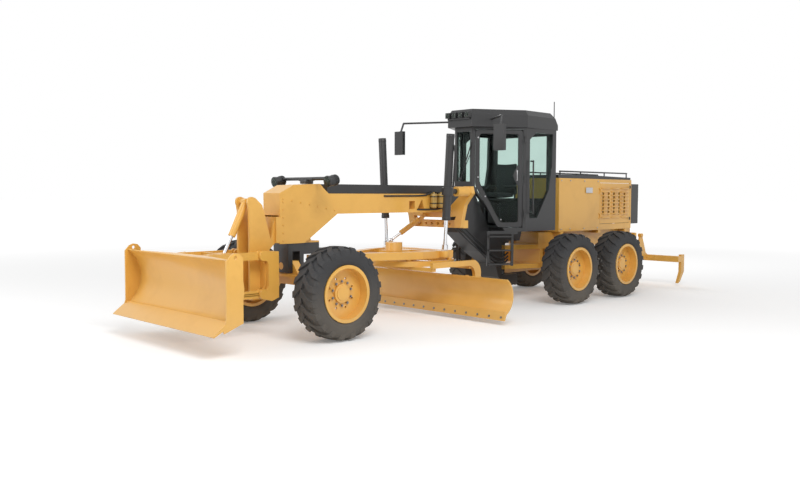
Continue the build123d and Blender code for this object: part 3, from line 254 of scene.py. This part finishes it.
def makeFinish(name, look):
    material = bpy.data.materials.new(name)
    material.use_nodes = True
    tree = material.node_tree
    body = tree.nodes["Principled BSDF"]
    wear = tree.nodes.new("ShaderNodeGroup")
    wear.node_tree = weathering
    wear.inputs["Grain Size"].default_value = look["grain"]
    wear.inputs["Dust"].default_value = look["dust"]
    shade = tree.nodes.new("ShaderNodeMix")
    shade.data_type = "RGBA"
    shade.inputs["A"].default_value = (*look["dark"], 1.0)
    shade.inputs["B"].default_value = (*look["colour"], 1.0)
    spread = tree.nodes.new("ShaderNodeMapRange")
    spread.inputs["From Min"].default_value = 0.25
    spread.inputs["From Max"].default_value = 0.55
    tree.links.new(wear.outputs["Blotch"], spread.inputs["Value"])
    tree.links.new(spread.outputs["Result"], shade.inputs["Factor"])
    dusty = tree.nodes.new("ShaderNodeMix")
    dusty.data_type = "RGBA"
    dusty.inputs["B"].default_value = (0.36, 0.30, 0.22, 1.0)
    tree.links.new(shade.outputs["Result"], dusty.inputs["A"])
    tree.links.new(wear.outputs["Dust"], dusty.inputs["Factor"])
    tree.links.new(dusty.outputs["Result"], body.inputs["Base Color"])
    rough = tree.nodes.new("ShaderNodeMapRange")
    rough.inputs["To Min"].default_value, rough.inputs["To Max"].default_value = look["rough"]
    tree.links.new(wear.outputs["Blotch"], rough.inputs["Value"])
    tree.links.new(rough.outputs["Result"], body.inputs["Roughness"])
    bump = tree.nodes.new("ShaderNodeBump")
    bump.inputs["Strength"].default_value = look["bump"] * 4
    bump.inputs["Distance"].default_value = 0.002
    tree.links.new(wear.outputs["Grain"], bump.inputs["Height"])
    tree.links.new(bump.outputs["Normal"], body.inputs["Normal"])
    body.inputs["Coat Weight"].default_value = look["coat"]
    body.inputs["Coat Roughness"].default_value = 0.2
    return material


def makeMetal(name, colour, rough):
    material = bpy.data.materials.new(name)
    material.use_nodes = True
    tree = material.node_tree
    body = tree.nodes["Principled BSDF"]
    body.inputs["Metallic"].default_value = 1.0
    wear = tree.nodes.new("ShaderNodeGroup")
    wear.node_tree = weathering
    wear.inputs["Grain Size"].default_value = 300.0
    tint = tree.nodes.new("ShaderNodeMix")
    tint.data_type = "RGBA"
    tint.inputs["A"].default_value = (*[0.82 * c for c in colour], 1.0)
    tint.inputs["B"].default_value = (*colour, 1.0)
    tree.links.new(wear.outputs["Blotch"], tint.inputs["Factor"])
    tree.links.new(tint.outputs["Result"], body.inputs["Base Color"])
    spread = tree.nodes.new("ShaderNodeMapRange")
    spread.inputs["To Min"].default_value, spread.inputs["To Max"].default_value = rough
    tree.links.new(wear.outputs["Grain"], spread.inputs["Value"])
    tree.links.new(spread.outputs["Result"], body.inputs["Roughness"])
    return material


def makeGlass(name, colour, rough):
    material = bpy.data.materials.new(name)
    material.use_nodes = True
    tree = material.node_tree
    body = tree.nodes["Principled BSDF"]
    body.inputs["Transmission Weight"].default_value = 1.0
    body.inputs["IOR"].default_value = 1.12
    wear = tree.nodes.new("ShaderNodeGroup")
    wear.node_tree = weathering
    wear.inputs["Blotch Size"].default_value = 2.5
    tint = tree.nodes.new("ShaderNodeMix")
    tint.data_type = "RGBA"
    tint.inputs["A"].default_value = (*[0.9 * c for c in colour], 1.0)
    tint.inputs["B"].default_value = (*colour, 1.0)
    tree.links.new(wear.outputs["Blotch"], tint.inputs["Factor"])
    tree.links.new(tint.outputs["Result"], body.inputs["Base Color"])
    haze = tree.nodes.new("ShaderNodeMapRange")
    haze.inputs["To Min"].default_value, haze.inputs["To Max"].default_value = rough
    tree.links.new(wear.outputs["Blotch"], haze.inputs["Value"])
    tree.links.new(haze.outputs["Result"], body.inputs["Roughness"])
    return material


paints = {name: makeFinish(name, look) for name, look in finishes.items()}
paints["chromeRod"] = makeMetal("chromeRod", (0.80, 0.81, 0.83), (0.08, 0.16))
paints["brightSteel"] = makeMetal("brightSteel", (0.55, 0.55, 0.56), (0.22, 0.38))
paints["wornSteel"] = makeMetal("wornSteel", (0.30, 0.29, 0.28), (0.35, 0.55))
paints["cabGlass"] = makeGlass("cabGlass", (0.74, 0.86, 0.82), (0.0, 0.03))
paints["lampLens"] = makeGlass("lampLens", (0.78, 0.90, 0.80), (0.05, 0.15))
print("materials ready:", len(paints))

# finishes of the CAD nodes that show as they are
slotPaint = {
    "yellow_paint": "yellowPaint",
    "black_paint": "blackPaint",
    "gold_paint": "goldPaint",
    "chrome_rod": "chromeRod",
    "engine_grey": "engineGrey",
    "black_fabric": "seatCloth",
    "tyre_rubber": "tyreRubber",
    "clear_glass": "cabGlass",
}
for part in frame["record"]["subparts"]:
    shown = nodes[part["node"]]
    shown.data.materials.clear()
    shown.data.materials.append(paints[slotPaint[part["material_slot"]]])


# the nose is yellow above this height and black below it, where the axle hangs
def makeTwoTone(name, upper, lower, height):
    material = paints[upper].copy()
    material.name = name
    tree = material.node_tree
    body = tree.nodes["Principled BSDF"]
    painted = body.inputs["Base Color"].links[0].from_socket
    place = tree.nodes.new("ShaderNodeTexCoord")
    axes = tree.nodes.new("ShaderNodeSeparateXYZ")
    tree.links.new(place.outputs["Object"], axes.inputs["Vector"])
    below = tree.nodes.new("ShaderNodeMath")
    below.operation = "LESS_THAN"
    below.inputs[1].default_value = height
    tree.links.new(axes.outputs["Z"], below.inputs[0])
    both = tree.nodes.new("ShaderNodeMix")
    both.data_type = "RGBA"
    both.inputs["B"].default_value = (*finishes[lower]["colour"], 1.0)
    tree.links.new(painted, both.inputs["A"])
    tree.links.new(below.outputs["Value"], both.inputs["Factor"])
    tree.links.new(both.outputs["Result"], body.inputs["Base Color"])
    return material


noseSplitHeight = 1.198
paints["noseTwoTone"] = makeTwoTone("noseTwoTone", "yellowPaint", "blackPaint", noseSplitHeight)
nodes["gooseneck"].data.materials.clear()
nodes["gooseneck"].data.materials.append(paints["noseTwoTone"])

# plate edges of the large nodes catch a thin line of light
softened = (
    "gooseneck", "beam_cover", "cab_roof", "cab_shell", "cab_frame", "hood", "hood_door_left",
    "hood_door_right", "rear_frame", "tandem_cases", "dozer_arms", "dozer_blade", "dozer_mount",
    "moldboard", "drawbar", "lift_saddle", "front_axle", "hood_cap", "blade_carrier",
)
edgeWeld, edgeWidth, edgeSegments, edgeAngle = 0.00001, 0.004, 2, math.radians(50)
for name in softened:
    weld = nodes[name].modifiers.new("joinEdges", "WELD")
    weld.merge_threshold = edgeWeld
    bevel = nodes[name].modifiers.new("softEdges", "BEVEL")
    bevel.width, bevel.segments = edgeWidth, edgeSegments
    bevel.limit_method, bevel.angle_limit = "ANGLE", edgeAngle
    bevel.use_clamp_overlap = True
print("CAD nodes painted")

# mesh helpers: every shape below is made of these


def roundEdges(bm, edges, size, segments=2):
    bmesh.ops.bevel(bm, geom=list(edges), offset=size, offset_type="OFFSET", segments=segments, profile=0.5,
                    affect="EDGES", clamp_overlap=True, material=-1)


def addBox(bm, low, high, size=0.004):
    low, high = Vector(low), Vector(high)
    place = Matrix.Translation((low + high) / 2) @ Matrix.Diagonal((*(high - low), 1.0))
    made = bmesh.ops.create_cube(bm, size=1.0, matrix=place)
    if size:
        roundEdges(bm, {edge for vert in made["verts"] for edge in vert.link_edges}, size)


def addRod(bm, start, end, radius, sides=20, size=0.0):
    start, end = Vector(start), Vector(end)
    turn = (end - start).to_track_quat("Z", "Y").to_matrix().to_4x4()
    made = bmesh.ops.create_cone(bm, cap_ends=True, segments=sides, radius1=radius, radius2=radius,
                                 depth=(end - start).length, matrix=Matrix.Translation((start + end) / 2) @ turn)
    if size:
        ends = {e for v in made["verts"] for e in v.link_edges if any(len(f.verts) > 4 for f in e.link_faces)}
        roundEdges(bm, ends, size)


def addPlate(bm, outline, thickness, size=0.003):
    # outline: points in space, in one plane; thickness: the vector it is pushed along
    face = bm.faces.new([bm.verts.new(point) for point in outline])
    grown = bmesh.ops.extrude_face_region(bm, geom=[face])
    moved = [item for item in grown["geom"] if isinstance(item, bmesh.types.BMVert)]
    bmesh.ops.translate(bm, verts=moved, vec=Vector(thickness))
    if size:
        rims = {e for v in moved for e in v.link_edges if len(e.link_faces) == 2 and e.calc_face_angle(0.0) > 0.5}
        roundEdges(bm, rims, size)


def addBolt(bm, place, out, radius=0.011, height=0.009):
    place, out = Vector(place), Vector(out).normalized()
    addRod(bm, place - out * 0.002, place + out * 0.003, radius * 1.35, 16)
    addRod(bm, place + out * 0.003, place + out * height, radius, 6)


def finishPiece(name, bm, paint, body, replaced=(), mirrored=False):
    if mirrored:
        bmesh.ops.scale(bm, vec=(1.0, -1.0, 1.0), verts=bm.verts)
    bmesh.ops.recalc_face_normals(bm, faces=bm.faces)
    mesh = bpy.data.meshes.new(name)
    bm.to_mesh(mesh)
    bm.free()
    mesh.shade_smooth()
    mesh.set_sharp_from_angle(angle=math.radians(32.0))
    mesh.materials.append(paints[paint])
    made = bpy.data.objects.new(name, mesh)
    bpy.context.scene.collection.objects.link(made)
    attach(made, body)
    if replaced:
        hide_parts(*replaced)
    return made


def makeHoses(name, body, runs, radius=0.011, paint="hoseRubber"):
    # held hydraulic hoses, clamped at both ends: one smooth run per row of points
    curve = bpy.data.curves.new(name, "CURVE")
    curve.dimensions = "3D"
    curve.bevel_depth = radius
    curve.bevel_resolution = 3
    curve.use_fill_caps = True
    for run in runs:
        line = curve.splines.new("NURBS")
        line.points.add(len(run) - 1)
        for point, place in zip(line.points, run):
            point.co = (*place, 1.0)
        line.order_u = 3
        line.use_endpoint_u = True
        line.resolution_u = 6
    curve.materials.append(paints[paint])
    made = bpy.data.objects.new(name, curve)
    bpy.context.scene.collection.objects.link(made)
    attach(made, body)
    return made


# tyres: a spun carcass with a directional tread
tyreShape = {
    "wheels": [("front", 3.617), ("tandem_front", -1.5395), ("tandem_rear", -3.0505)],
    "axleZ": 0.605, "trackHalf": 1.053, "lugCount": 20, "barHalf": 0.047, "taper": 0.86,
    # half of the carcass from the rim's seat to the crown: radius, distance from the middle
    "carcass": [(0.366, 0.165), (0.372, 0.183), (0.386, 0.193), (0.410, 0.199), (0.414, 0.2025), (0.420, 0.2025),
                (0.424, 0.203), (0.455, 0.207), (0.480, 0.2075), (0.505, 0.2045), (0.535, 0.200), (0.556, 0.187),
                (0.567, 0.150), (0.572, 0.080), (0.574, 0.0)],
    # a bar from the middle to the shoulder: run round the tyre, distance out, foot radius, push out and up, height
    "bar": [(0.150, -0.012, 0.570, 0.0, 1.0, 0.031), (0.105, 0.045, 0.569, 0.0, 1.0, 0.031),
            (0.055, 0.100, 0.566, 0.0, 1.0, 0.032), (0.020, 0.150, 0.562, 0.05, 1.0, 0.032),
            (0.005, 0.187, 0.550, 0.6, 0.8, 0.026), (0.000, 0.199, 0.533, 1.0, 0.1, 0.010),
            (0.000, 0.2035, 0.500, 1.0, 0.0, 0.004)],
}


def makeTyre(name, centreX, side):
    bm = bmesh.new()
    half = tyreShape["carcass"]
    profile = half + [(r, -y) for r, y in reversed(half[:-1])]
    ring = [bm.verts.new((r, y, 0.0)) for r, y in profile]
    edges = [bm.edges.new(pair) for pair in zip(ring, ring[1:])] + [bm.edges.new((ring[-1], ring[0]))]
    bmesh.ops.spin(bm, geom=ring + edges, cent=(0, 0, 0), axis=(0, 1, 0), angle=2 * math.pi, steps=96, use_merge=True)
    bmesh.ops.remove_doubles(bm, verts=bm.verts, dist=0.0002)
    count = tyreShape["lugCount"]
    for row in (-1, 1):
        for index in range(count):
            start = 2 * math.pi * (index + (0.5 if row > 0 else 0.0)) / count
            rows = []
            for run, off, foot, out, up, height in tyreShape["bar"]:
                angle = start + run / 0.59
                wide = tyreShape["barHalf"] / 0.59
                top = (foot + up * height, off + out * height)
                corners = [(foot, off, -wide), (*top, -wide * tyreShape["taper"]), (*top, wide * tyreShape["taper"]),
                           (foot, off, wide)]
                rows.append([bm.verts.new((r * math.cos(angle + a), row * y, r * math.sin(angle + a)))
                             for r, y, a in corners])
            for near, far in zip(rows, rows[1:]):
                for a, b in ((0, 1), (1, 2), (2, 3), (3, 0)):
                    bm.faces.new((near[a], near[b], far[b], far[a]))
            bm.faces.new(rows[0])
            bm.faces.new(rows[-1])
    bmesh.ops.translate(bm, verts=bm.verts, vec=(centreX, side * tyreShape["trackHalf"], tyreShape["axleZ"]))
    finishPiece(f"tread_{name}", bm, "tyreRubber", f"wheel_{name}", (f"tyre_{name}",))
    trim = bmesh.new()
    face = side * (tyreShape["trackHalf"] + 0.085)
    for index in range(10):
        angle = 2 * math.pi * (index + 0.5) / 10
        addBolt(trim, (centreX + 0.155 * math.cos(angle), face - side * 0.004,
                       tyreShape["axleZ"] + 0.155 * math.sin(angle)),
                (0, side, 0), 0.013, 0.014)
    finishPiece(f"wheel_nuts_{name}", trim, "wornSteel", f"wheel_{name}")


for wheel, middleX in tyreShape["wheels"]:
    for sideName, sideSign in (("left", 1), ("right", -1)):
        makeTyre(f"{wheel}_{sideName}", middleX, sideSign)
print("tyres ready")

# cab doors: a rounded frame with seal, pane, latch panel and handle
doorShape = {
    "origin": (-0.695, 0.730), "along": (0.8097, -0.5869), "out": (0.5869, 0.8097), "wall": 0.036,
    "frame": [(0.062, 1.325), (0.478, 1.325), (0.858, 2.015), (0.858, 2.925), (0.062, 2.925)],
    "glass": [(0.128, 1.400), (0.440, 1.400), (0.795, 2.060), (0.795, 2.868), (0.128, 2.868)],
    "latch": [(0.100, 2.430), (0.226, 2.180), (0.100, 1.930)],
    "cornerRound": 0.045,
}


def doorPoint(s, z, lift):
    x, y = doorShape["origin"]
    (ax, ay), (ox, oy) = doorShape["along"], doorShape["out"]
    return Vector((x + ax * s + ox * lift, y + ay * s + oy * lift, z))


def roundedOutline(points, radius, steps=5):
    # each corner becomes an arc, drawn as a quadratic between its two cut points
    made = []
    for index, corner in enumerate(points):
        here = Vector(corner)
        before, after = Vector(points[index - 1]) - here, Vector(points[(index + 1) % len(points)]) - here
        cut = min(radius, 0.45 * before.length, 0.45 * after.length)
        first, last = here + before.normalized() * cut, here + after.normalized() * cut
        for step in range(steps + 1):
            t = step / steps
            made.append(tuple(first * (1 - t) ** 2 + here * 2 * t * (1 - t) + last * t ** 2))
    return made


def addRing(bm, outer, inner, place, low, high, size=0.003):
    # a frame between two outlines of as many points, from depth low to depth high
    sheets = [[[bm.verts.new(place(u, v, depth)) for u, v in loop] for loop in (outer, inner)] for depth in (low, high)]
    count = len(outer)
    fresh = []
    for i in range(count):
        j = (i + 1) % count
        (lowOut, lowIn), (highOut, highIn) = sheets
        for quad in ((lowOut[i], lowOut[j], lowIn[j], lowIn[i]), (highOut[i], highOut[j], highIn[j], highIn[i]),
                     (lowOut[i], lowOut[j], highOut[j], highOut[i]), (lowIn[i], lowIn[j], highIn[j], highIn[i])):
            fresh.append(bm.faces.new(quad))
    if size:
        rims = {e for f in fresh for e in f.edges if e.calc_face_angle(0.0) > 1.0}
        roundEdges(bm, rims, size)


def makeDoor(sideName, mirrored):
    body = f"cab_door_{sideName}"
    outer = roundedOutline(doorShape["frame"], doorShape["cornerRound"])
    inner = roundedOutline(doorShape["glass"], doorShape["cornerRound"])
    bm = bmesh.new()
    addRing(bm, outer, inner, doorPoint, -doorShape["wall"] + 0.004, -0.002)
    addPlate(bm, [doorPoint(s, z, -0.024) for s, z in doorShape["latch"]],
             doorPoint(0, 0, -0.010) - doorPoint(0, 0, -0.024))
    for s, z in ((0.10, 1.50), (0.10, 2.70)):
        addRod(bm, doorPoint(s - 0.03, z, -0.006), doorPoint(s - 0.03, z + 0.09, -0.006), 0.010, 16, 0.002)
    finishPiece(f"door_frame_{sideName}", bm, "blackPaint", body, (body,), mirrored)
    bm = bmesh.new()
    seal = roundedOutline([(s + 0.008 * (1 if s < 0.3 else -1), z + 0.008 * (1 if z < 2.3 else -1))
                           for s, z in doorShape["glass"]], doorShape["cornerRound"])
    addRing(bm, inner, seal, doorPoint, -0.026, -0.012, 0.0)
    finishPiece(f"door_seal_{sideName}", bm, "sealRubber", body, (), mirrored)
    bm = bmesh.new()
    addPlate(bm, [doorPoint(s, z, -0.022) for s, z in seal], doorPoint(0, 0, -0.016) - doorPoint(0, 0, -0.022), 0.0)
    finishPiece(f"door_pane_{sideName}", bm, "cabGlass", body, (), mirrored)
    bm = bmesh.new()
    addRod(bm, doorPoint(0.150, 2.10, 0.002), doorPoint(0.150, 2.26, 0.002), 0.008, 12, 0.002)
    for s, z in ((0.150, 2.105), (0.150, 2.255), (0.690, 1.835), (0.420, 1.450), (0.815, 2.150), (0.815, 2.800)):
        addRod(bm, doorPoint(s, z, -0.020), doorPoint(s, z, 0.003), 0.011, 16, 0.002)
    finishPiece(f"door_handle_{sideName}", bm, "brightSteel", body, (), mirrored)


makeDoor("left", False)
makeDoor("right", True)
print("cab doors ready")

# operator's seat: crowned cushions on a base, with armrests, and the steering console
seatShape = {
    "cushion": ((-0.79, 0.0, 1.855), (0.46, 0.46, 0.10)), "backrest": ((-1.095, 0.0, 2.13), (0.10, 0.44, 0.55)),
    "armZ": 2.02, "floor": 1.37,
}


def makeCushion(name, middle, size, fill):
    bm = bmesh.new()
    place = Matrix.Translation(middle) @ Matrix.Diagonal((*size, 1.0))
    bmesh.ops.create_cube(bm, size=1.0, matrix=place)
    bmesh.ops.subdivide_edges(bm, edges=bm.edges[:], cuts=9, use_grid_fill=True)
    thin = min(range(3), key=lambda axis: size[axis])
    wide = [axis for axis in range(3) if axis != thin]
    for vert in bm.verts:
        away = [(vert.co[axis] - middle[axis]) / (size[axis] / 2) for axis in range(3)]
        crown = (1 - abs(away[wide[0]]) ** 4) * (1 - abs(away[wide[1]]) ** 4)
        vert.co[thin] = middle[thin] + away[thin] * size[thin] / 2 * (0.62 + 0.38 * crown)
        for axis, other in (wide, reversed(wide)):
            pull = 1 - 0.05 * (1 - abs(away[other]) ** 2) * abs(away[axis]) - 0.04 * abs(away[thin])
            vert.co[axis] = middle[axis] + away[axis] * size[axis] / 2 * pull
        if abs(abs(away[wide[1]]) - 0.5) < 0.06:
            vert.co[thin] -= 0.006 * away[thin]
    made = finishPiece(name, bm, "seatCloth", "front_frame",
                       ("operator_station",) if name == "seat_cushion" else ())
    soften = made.modifiers.new("soften", "SUBSURF")
    soften.levels = soften.render_levels = 1


makeCushion("seat_cushion", *seatShape["cushion"], 0.7)
makeCushion("seat_backrest", *seatShape["backrest"], 0.7)
bm = bmesh.new()
addBox(bm, (-0.96, -0.13, seatShape["floor"]), (-0.74, 0.13, 1.76), 0.012)
addBox(bm, (-1.02, -0.20, 1.755), (-0.58, 0.20, 1.80), 0.010)
for edge in (-1, 1):
    addBox(bm, (-1.06, edge * 0.235 - 0.028, 1.975), (-0.70, edge * 0.235 + 0.028, 2.020), 0.014)
    addRod(bm, (-1.04, edge * 0.225, 1.79), (-1.04, edge * 0.225, 1.99), 0.016, 16)
addBox(bm, (-0.475, -0.055, seatShape["floor"]), (-0.425, 0.055, 1.955), 0.010)
addBox(bm, (-0.505, -0.13, 1.950), (-0.400, 0.13, 1.992), 0.012)
for edge in (-1, 1):
    addRod(bm, (-0.47, edge * 0.10, 1.985), (-0.49, edge * 0.11, 2.05), 0.010, 12, 0.003)
finishPiece("operator_controls", bm, "blackPlastic", "front_frame")
print("operator station ready")

# light bar over the nose, lamps with pale lenses, and the two accumulators beside the beam
lampShape = {"x": 3.305, "bar": (3.305, 2.075), "half": 0.560, "lampY": 0.600}
bm = bmesh.new()
barX, barZ = lampShape["bar"]
addRod(bm, (barX, -lampShape["half"], barZ), (barX, lampShape["half"], barZ), 0.024, 24, 0.004)
addBox(bm, (barX - 0.068, -0.068, 2.006), (barX + 0.068, 0.068, 2.062), 0.010)
addBox(bm, (barX - 0.030, -0.150, 2.045), (barX + 0.030, 0.150, 2.090), 0.008)
for side in (-1, 1):
    lampY = side * lampShape["lampY"]
    addBox(bm, (barX - 0.018, lampY - 0.043, 2.030), (barX + 0.018, lampY + 0.043, 2.098), 0.006)
    addRod(bm, (barX - 0.048, lampY, 2.059), (barX + 0.100, lampY, 2.034), 0.070, 32, 0.014)
    addRod(bm, (barX + 0.095, lampY, 2.035), (barX + 0.122, lampY, 2.031), 0.076, 32, 0.004)
    for fin in range(4):
        at = 0.12 + 0.16 * fin
        addRod(bm, (barX - 0.040 + at * 0.1, lampY, 2.058 - at * 0.017),
               (barX - 0.034 + at * 0.1, lampY, 2.057 - at * 0.017), 0.074, 32, 0.001)
finishPiece("nose_light_bar", bm, "blackPaint", "front_frame", ("beam_fittings",))
bm = bmesh.new()
for side in (-1, 1):
    lampY = side * lampShape["lampY"]
    addRod(bm, (barX + 0.120, lampY, 2.0314), (barX + 0.126, lampY, 2.0304), 0.068, 32, 0.002)
finishPiece("nose_lamp_lenses", bm, "lampLens", "front_frame")
bm = bmesh.new()
for tankX in (0.835, 0.995):
    addRod(bm, (tankX, 0.230, 1.655), (tankX, 0.230, 1.880), 0.053, 32, 0.020)
    addRod(bm, (tankX, 0.230, 1.880), (tankX, 0.230, 1.898), 0.016, 16, 0.002)
finishPiece("accumulators", bm, "goldPaint", "front_frame")
bm = bmesh.new()
for tankX in (0.835, 0.995):
    for z in (1.715, 1.820):
        addRod(bm, (tankX, 0.230, z), (tankX, 0.230, z + 0.018), 0.0545, 32, 0.002)
        addBox(bm, (tankX - 0.020, 0.166, z), (tankX + 0.020, 0.190, z + 0.018), 0.002)
    addBox(bm, (tankX - 0.028, 0.1655, 1.650), (tankX + 0.028, 0.205, 1.690), 0.006)
    addBolt(bm, (tankX, 0.205, 1.670), (0, 1, 0), 0.010, 0.012)
finishPiece("accumulator_clamps", bm, "blackPaint", "front_frame")

# held hydraulic hoses, each clamped at both ends
makeHoses("beam_hoses", "front_frame", [
    [(0.70, 0.168, 1.860), (0.90, 0.176, 1.925), (1.10, 0.176, 1.850), (1.30, 0.172, 1.840), (2.00, 0.172, 1.838)],
    [(0.70, 0.168, 1.660), (0.84, 0.182, 1.632), (1.02, 0.182, 1.628), (1.30, 0.174, 1.632)],
    [(0.66, 0.176, 1.760), (0.76, 0.190, 1.700), (0.84, 0.184, 1.650)],
], 0.013)
makeHoses("hitch_hoses", "front_frame", [
    [(-0.90, 0.196, 0.86), (-0.72, 0.214, 0.76), (-0.50, 0.212, 0.82),
     (-0.22, 0.204, 1.02), (0.10, 0.200, 1.22), (0.44, 0.192, 1.46)],
    [(-0.90, 0.196, 0.80), (-0.72, 0.222, 0.69), (-0.46, 0.222, 0.76),
     (-0.18, 0.210, 0.97), (0.14, 0.204, 1.17), (0.48, 0.192, 1.42)],
    [(-0.90, 0.196, 0.74), (-0.70, 0.228, 0.62), (-0.42, 0.226, 0.70),
     (-0.14, 0.212, 0.92), (0.18, 0.204, 1.12), (0.52, 0.192, 1.38)],
], 0.015)
for sideName, side in (("left", 1), ("right", -1)):
    makeHoses(f"lift_hoses_{sideName}", f"lift_barrel_{sideName}", [
        [(1.185, side * (0.775 + dy), 2.700), (1.165 - dx, side * (0.835 + dy), 2.560),
         (1.160 - dx, side * (0.800 + dy), 2.250), (1.158 - dx, side * (0.780 + dy), 1.990)]
        for dx, dy in ((0.0, 0.0), (0.034, -0.012))], 0.0095)
print("light bar and hoses ready")

# bolts: rows of hexagon heads on the joints that the machine shows


def makeBolts(name, body, paint, rows, radius=0.011, height=0.010):
    bm = bmesh.new()
    for place, out in rows:
        addBolt(bm, place, out, radius, height)
    finishPiece(name, bm, paint, body)


def along(start, end, count):
    start, end = Vector(start), Vector(end)
    return [start.lerp(end, i / (count - 1)) for i in range(count)]


leftRight = (("left", 1), ("right", -1))
makeBolts("nose_bolts", "front_frame", "yellowPaint",
          [((p.x, side * 0.190, p.z), (0, side, 0)) for _, side in leftRight
           for p in along((3.840, 0, 1.800), (2.960, 0, 1.640), 7) + along((3.840, 0, 1.240), (3.840, 0, 1.760), 6)])
makeBolts("beam_bolts", "front_frame", "wornSteel",
          [((p.x, side * 0.165, p.z), (0, side, 0)) for _, side in leftRight
           for p in along((0.72, 0, 1.63), (0.72, 0, 1.83), 4)])
makeBolts("board_bolts", "moldboard", "wornSteel",
          [((0.905 + 0.295, y, 0.118), (0.95, 0, 0.3)) for y in [-1.76 + 0.22 * i for i in range(17)]], 0.013, 0.010)
makeBolts("dozer_bolts", "dozer_blade", "wornSteel",
          [((5.360, y, 0.398), (0.8, 0, 0.6)) for y in [-1.15 + 0.23 * i for i in range(11)]], 0.013, 0.009)
makeBolts("guard_bolts", "rear_frame", "brightSteel",
          [((x, side * 0.515, z), (0, side, 0)) for _, side in leftRight
           for x in (-3.20, -2.75, -2.30, -2.02) for z in (1.245, 2.12)], 0.009, 0.008)
makeBolts("case_bolts", "rear_frame", "wornSteel",
          [((x + 0.13 * math.cos(a), side * 1.125, 0.605 + 0.13 * math.sin(a)), (0, side, 0)) for _, side in leftRight
           for x in (-2.295,) for a in [math.tau * i / 8 for i in range(8)]], 0.013, 0.012)

# hood: louvres, latches and a grab rail on each side, and a low box on top
for sideName, side in leftRight:
    bm = bmesh.new()
    for column in range(3):
        for row in range(9):
            left = -4.30 + column * 0.345
            z = 1.42 + row * 0.070
            addBox(bm, (left, min(side * 0.518, side * 0.526), z),
                   (left + 0.27, max(side * 0.518, side * 0.526), z + 0.022), 0.003)
    finishPiece(f"hood_louvres_{sideName}", bm, "yellowPaint", f"hood_door_{sideName}")
    bm = bmesh.new()
    for z in (1.40, 2.02):
        addBox(bm, (-4.355, min(side * 0.519, side * 0.533), z - 0.03),
               (-4.325, max(side * 0.519, side * 0.533), z + 0.03), 0.005)
    finishPiece(f"hood_latches_{sideName}", bm, "blackPlastic", f"hood_door_{sideName}")
    bm = bmesh.new()
    railY = side * 0.455
    for x in (-4.30, -3.50, -2.70, -2.05):
        addRod(bm, (x, railY, 2.200), (x, railY, 2.285), 0.012, 14)
    addRod(bm, (-4.32, railY, 2.288), (-2.03, railY, 2.288), 0.014, 16, 0.004)
    finishPiece(f"hood_rail_{sideName}", bm, "blackPaint", "rear_frame")
bm = bmesh.new()
addBox(bm, (-3.55, -0.30, 2.224), (-2.85, 0.30, 2.262), 0.014)
finishPiece("hood_top_box", bm, "blackPaint", "rear_frame")
bm = bmesh.new()
addBox(bm, (-3.02, 0.514, 1.90), (-2.80, 0.517, 2.00), 0.002)
finishPiece("hood_plate", bm, "brightSteel", "rear_frame")
print("bolts and hood trim ready")

# cab: wipers, grab rails, mirrors' glass and the work lamps' lenses
bm = bmesh.new()
addRod(bm, (0.058, -0.05, 2.14), (0.062, 0.16, 2.52), 0.007, 10)
addRod(bm, (0.064, 0.04, 2.34), (0.064, 0.20, 2.74), 0.009, 10)
addBox(bm, (0.050, -0.085, 2.100), (0.078, -0.015, 2.150), 0.008)
finishPiece("front_wiper", bm, "blackPlastic", "front_frame")
for sideName, side in leftRight:
    bm = bmesh.new()
    handX, handY = -0.800, side * 0.800
    addRod(bm, (handX, handY, 1.56), (handX, handY, 2.42), 0.014, 18)
    for z in (1.56, 2.42):
        addRod(bm, (handX, side * 0.742, z), (handX, side * 0.812, z), 0.014, 18, 0.004)
    finishPiece(f"grab_rail_{sideName}", bm, "blackPaint", "front_frame")
bm = bmesh.new()
for side in (-1, 1):
    addBox(bm, (0.4195, side * 1.10 - 0.085, 2.575), (0.4245, side * 1.10 + 0.085, 2.905), 0.002)
finishPiece("mirror_glass", bm, "chromeRod", "front_frame")
bm = bmesh.new()
for y in (-0.21, -0.07, 0.07, 0.21):
    addBox(bm, (0.219, y - 0.036, 3.129), (0.2235, y + 0.036, 3.201), 0.002)
finishPiece("work_lamp_lenses", bm, "lampLens", "front_frame")

# lift cylinders: collars and head caps
for sideName, side in leftRight:
    low, high = Vector((1.185, side * 0.645, 1.035)), Vector((1.185, side * 0.700, 1.910))
    lean = (high - low).normalized()
    bm = bmesh.new()
    for z, radius, length in ((1.500, 0.066, 0.050), (2.730, 0.064, 0.040),
                              (2.300, 0.062, 0.022), (1.700, 0.062, 0.022)):
        middle = low + lean * ((z - low.z) / lean.z)
        addRod(bm, middle - lean * length / 2, middle + lean * length / 2, radius, 32, 0.004)
    finishPiece(f"lift_collars_{sideName}", bm, "blackPaint", f"lift_barrel_{sideName}")
print("cab and cylinder trim ready")
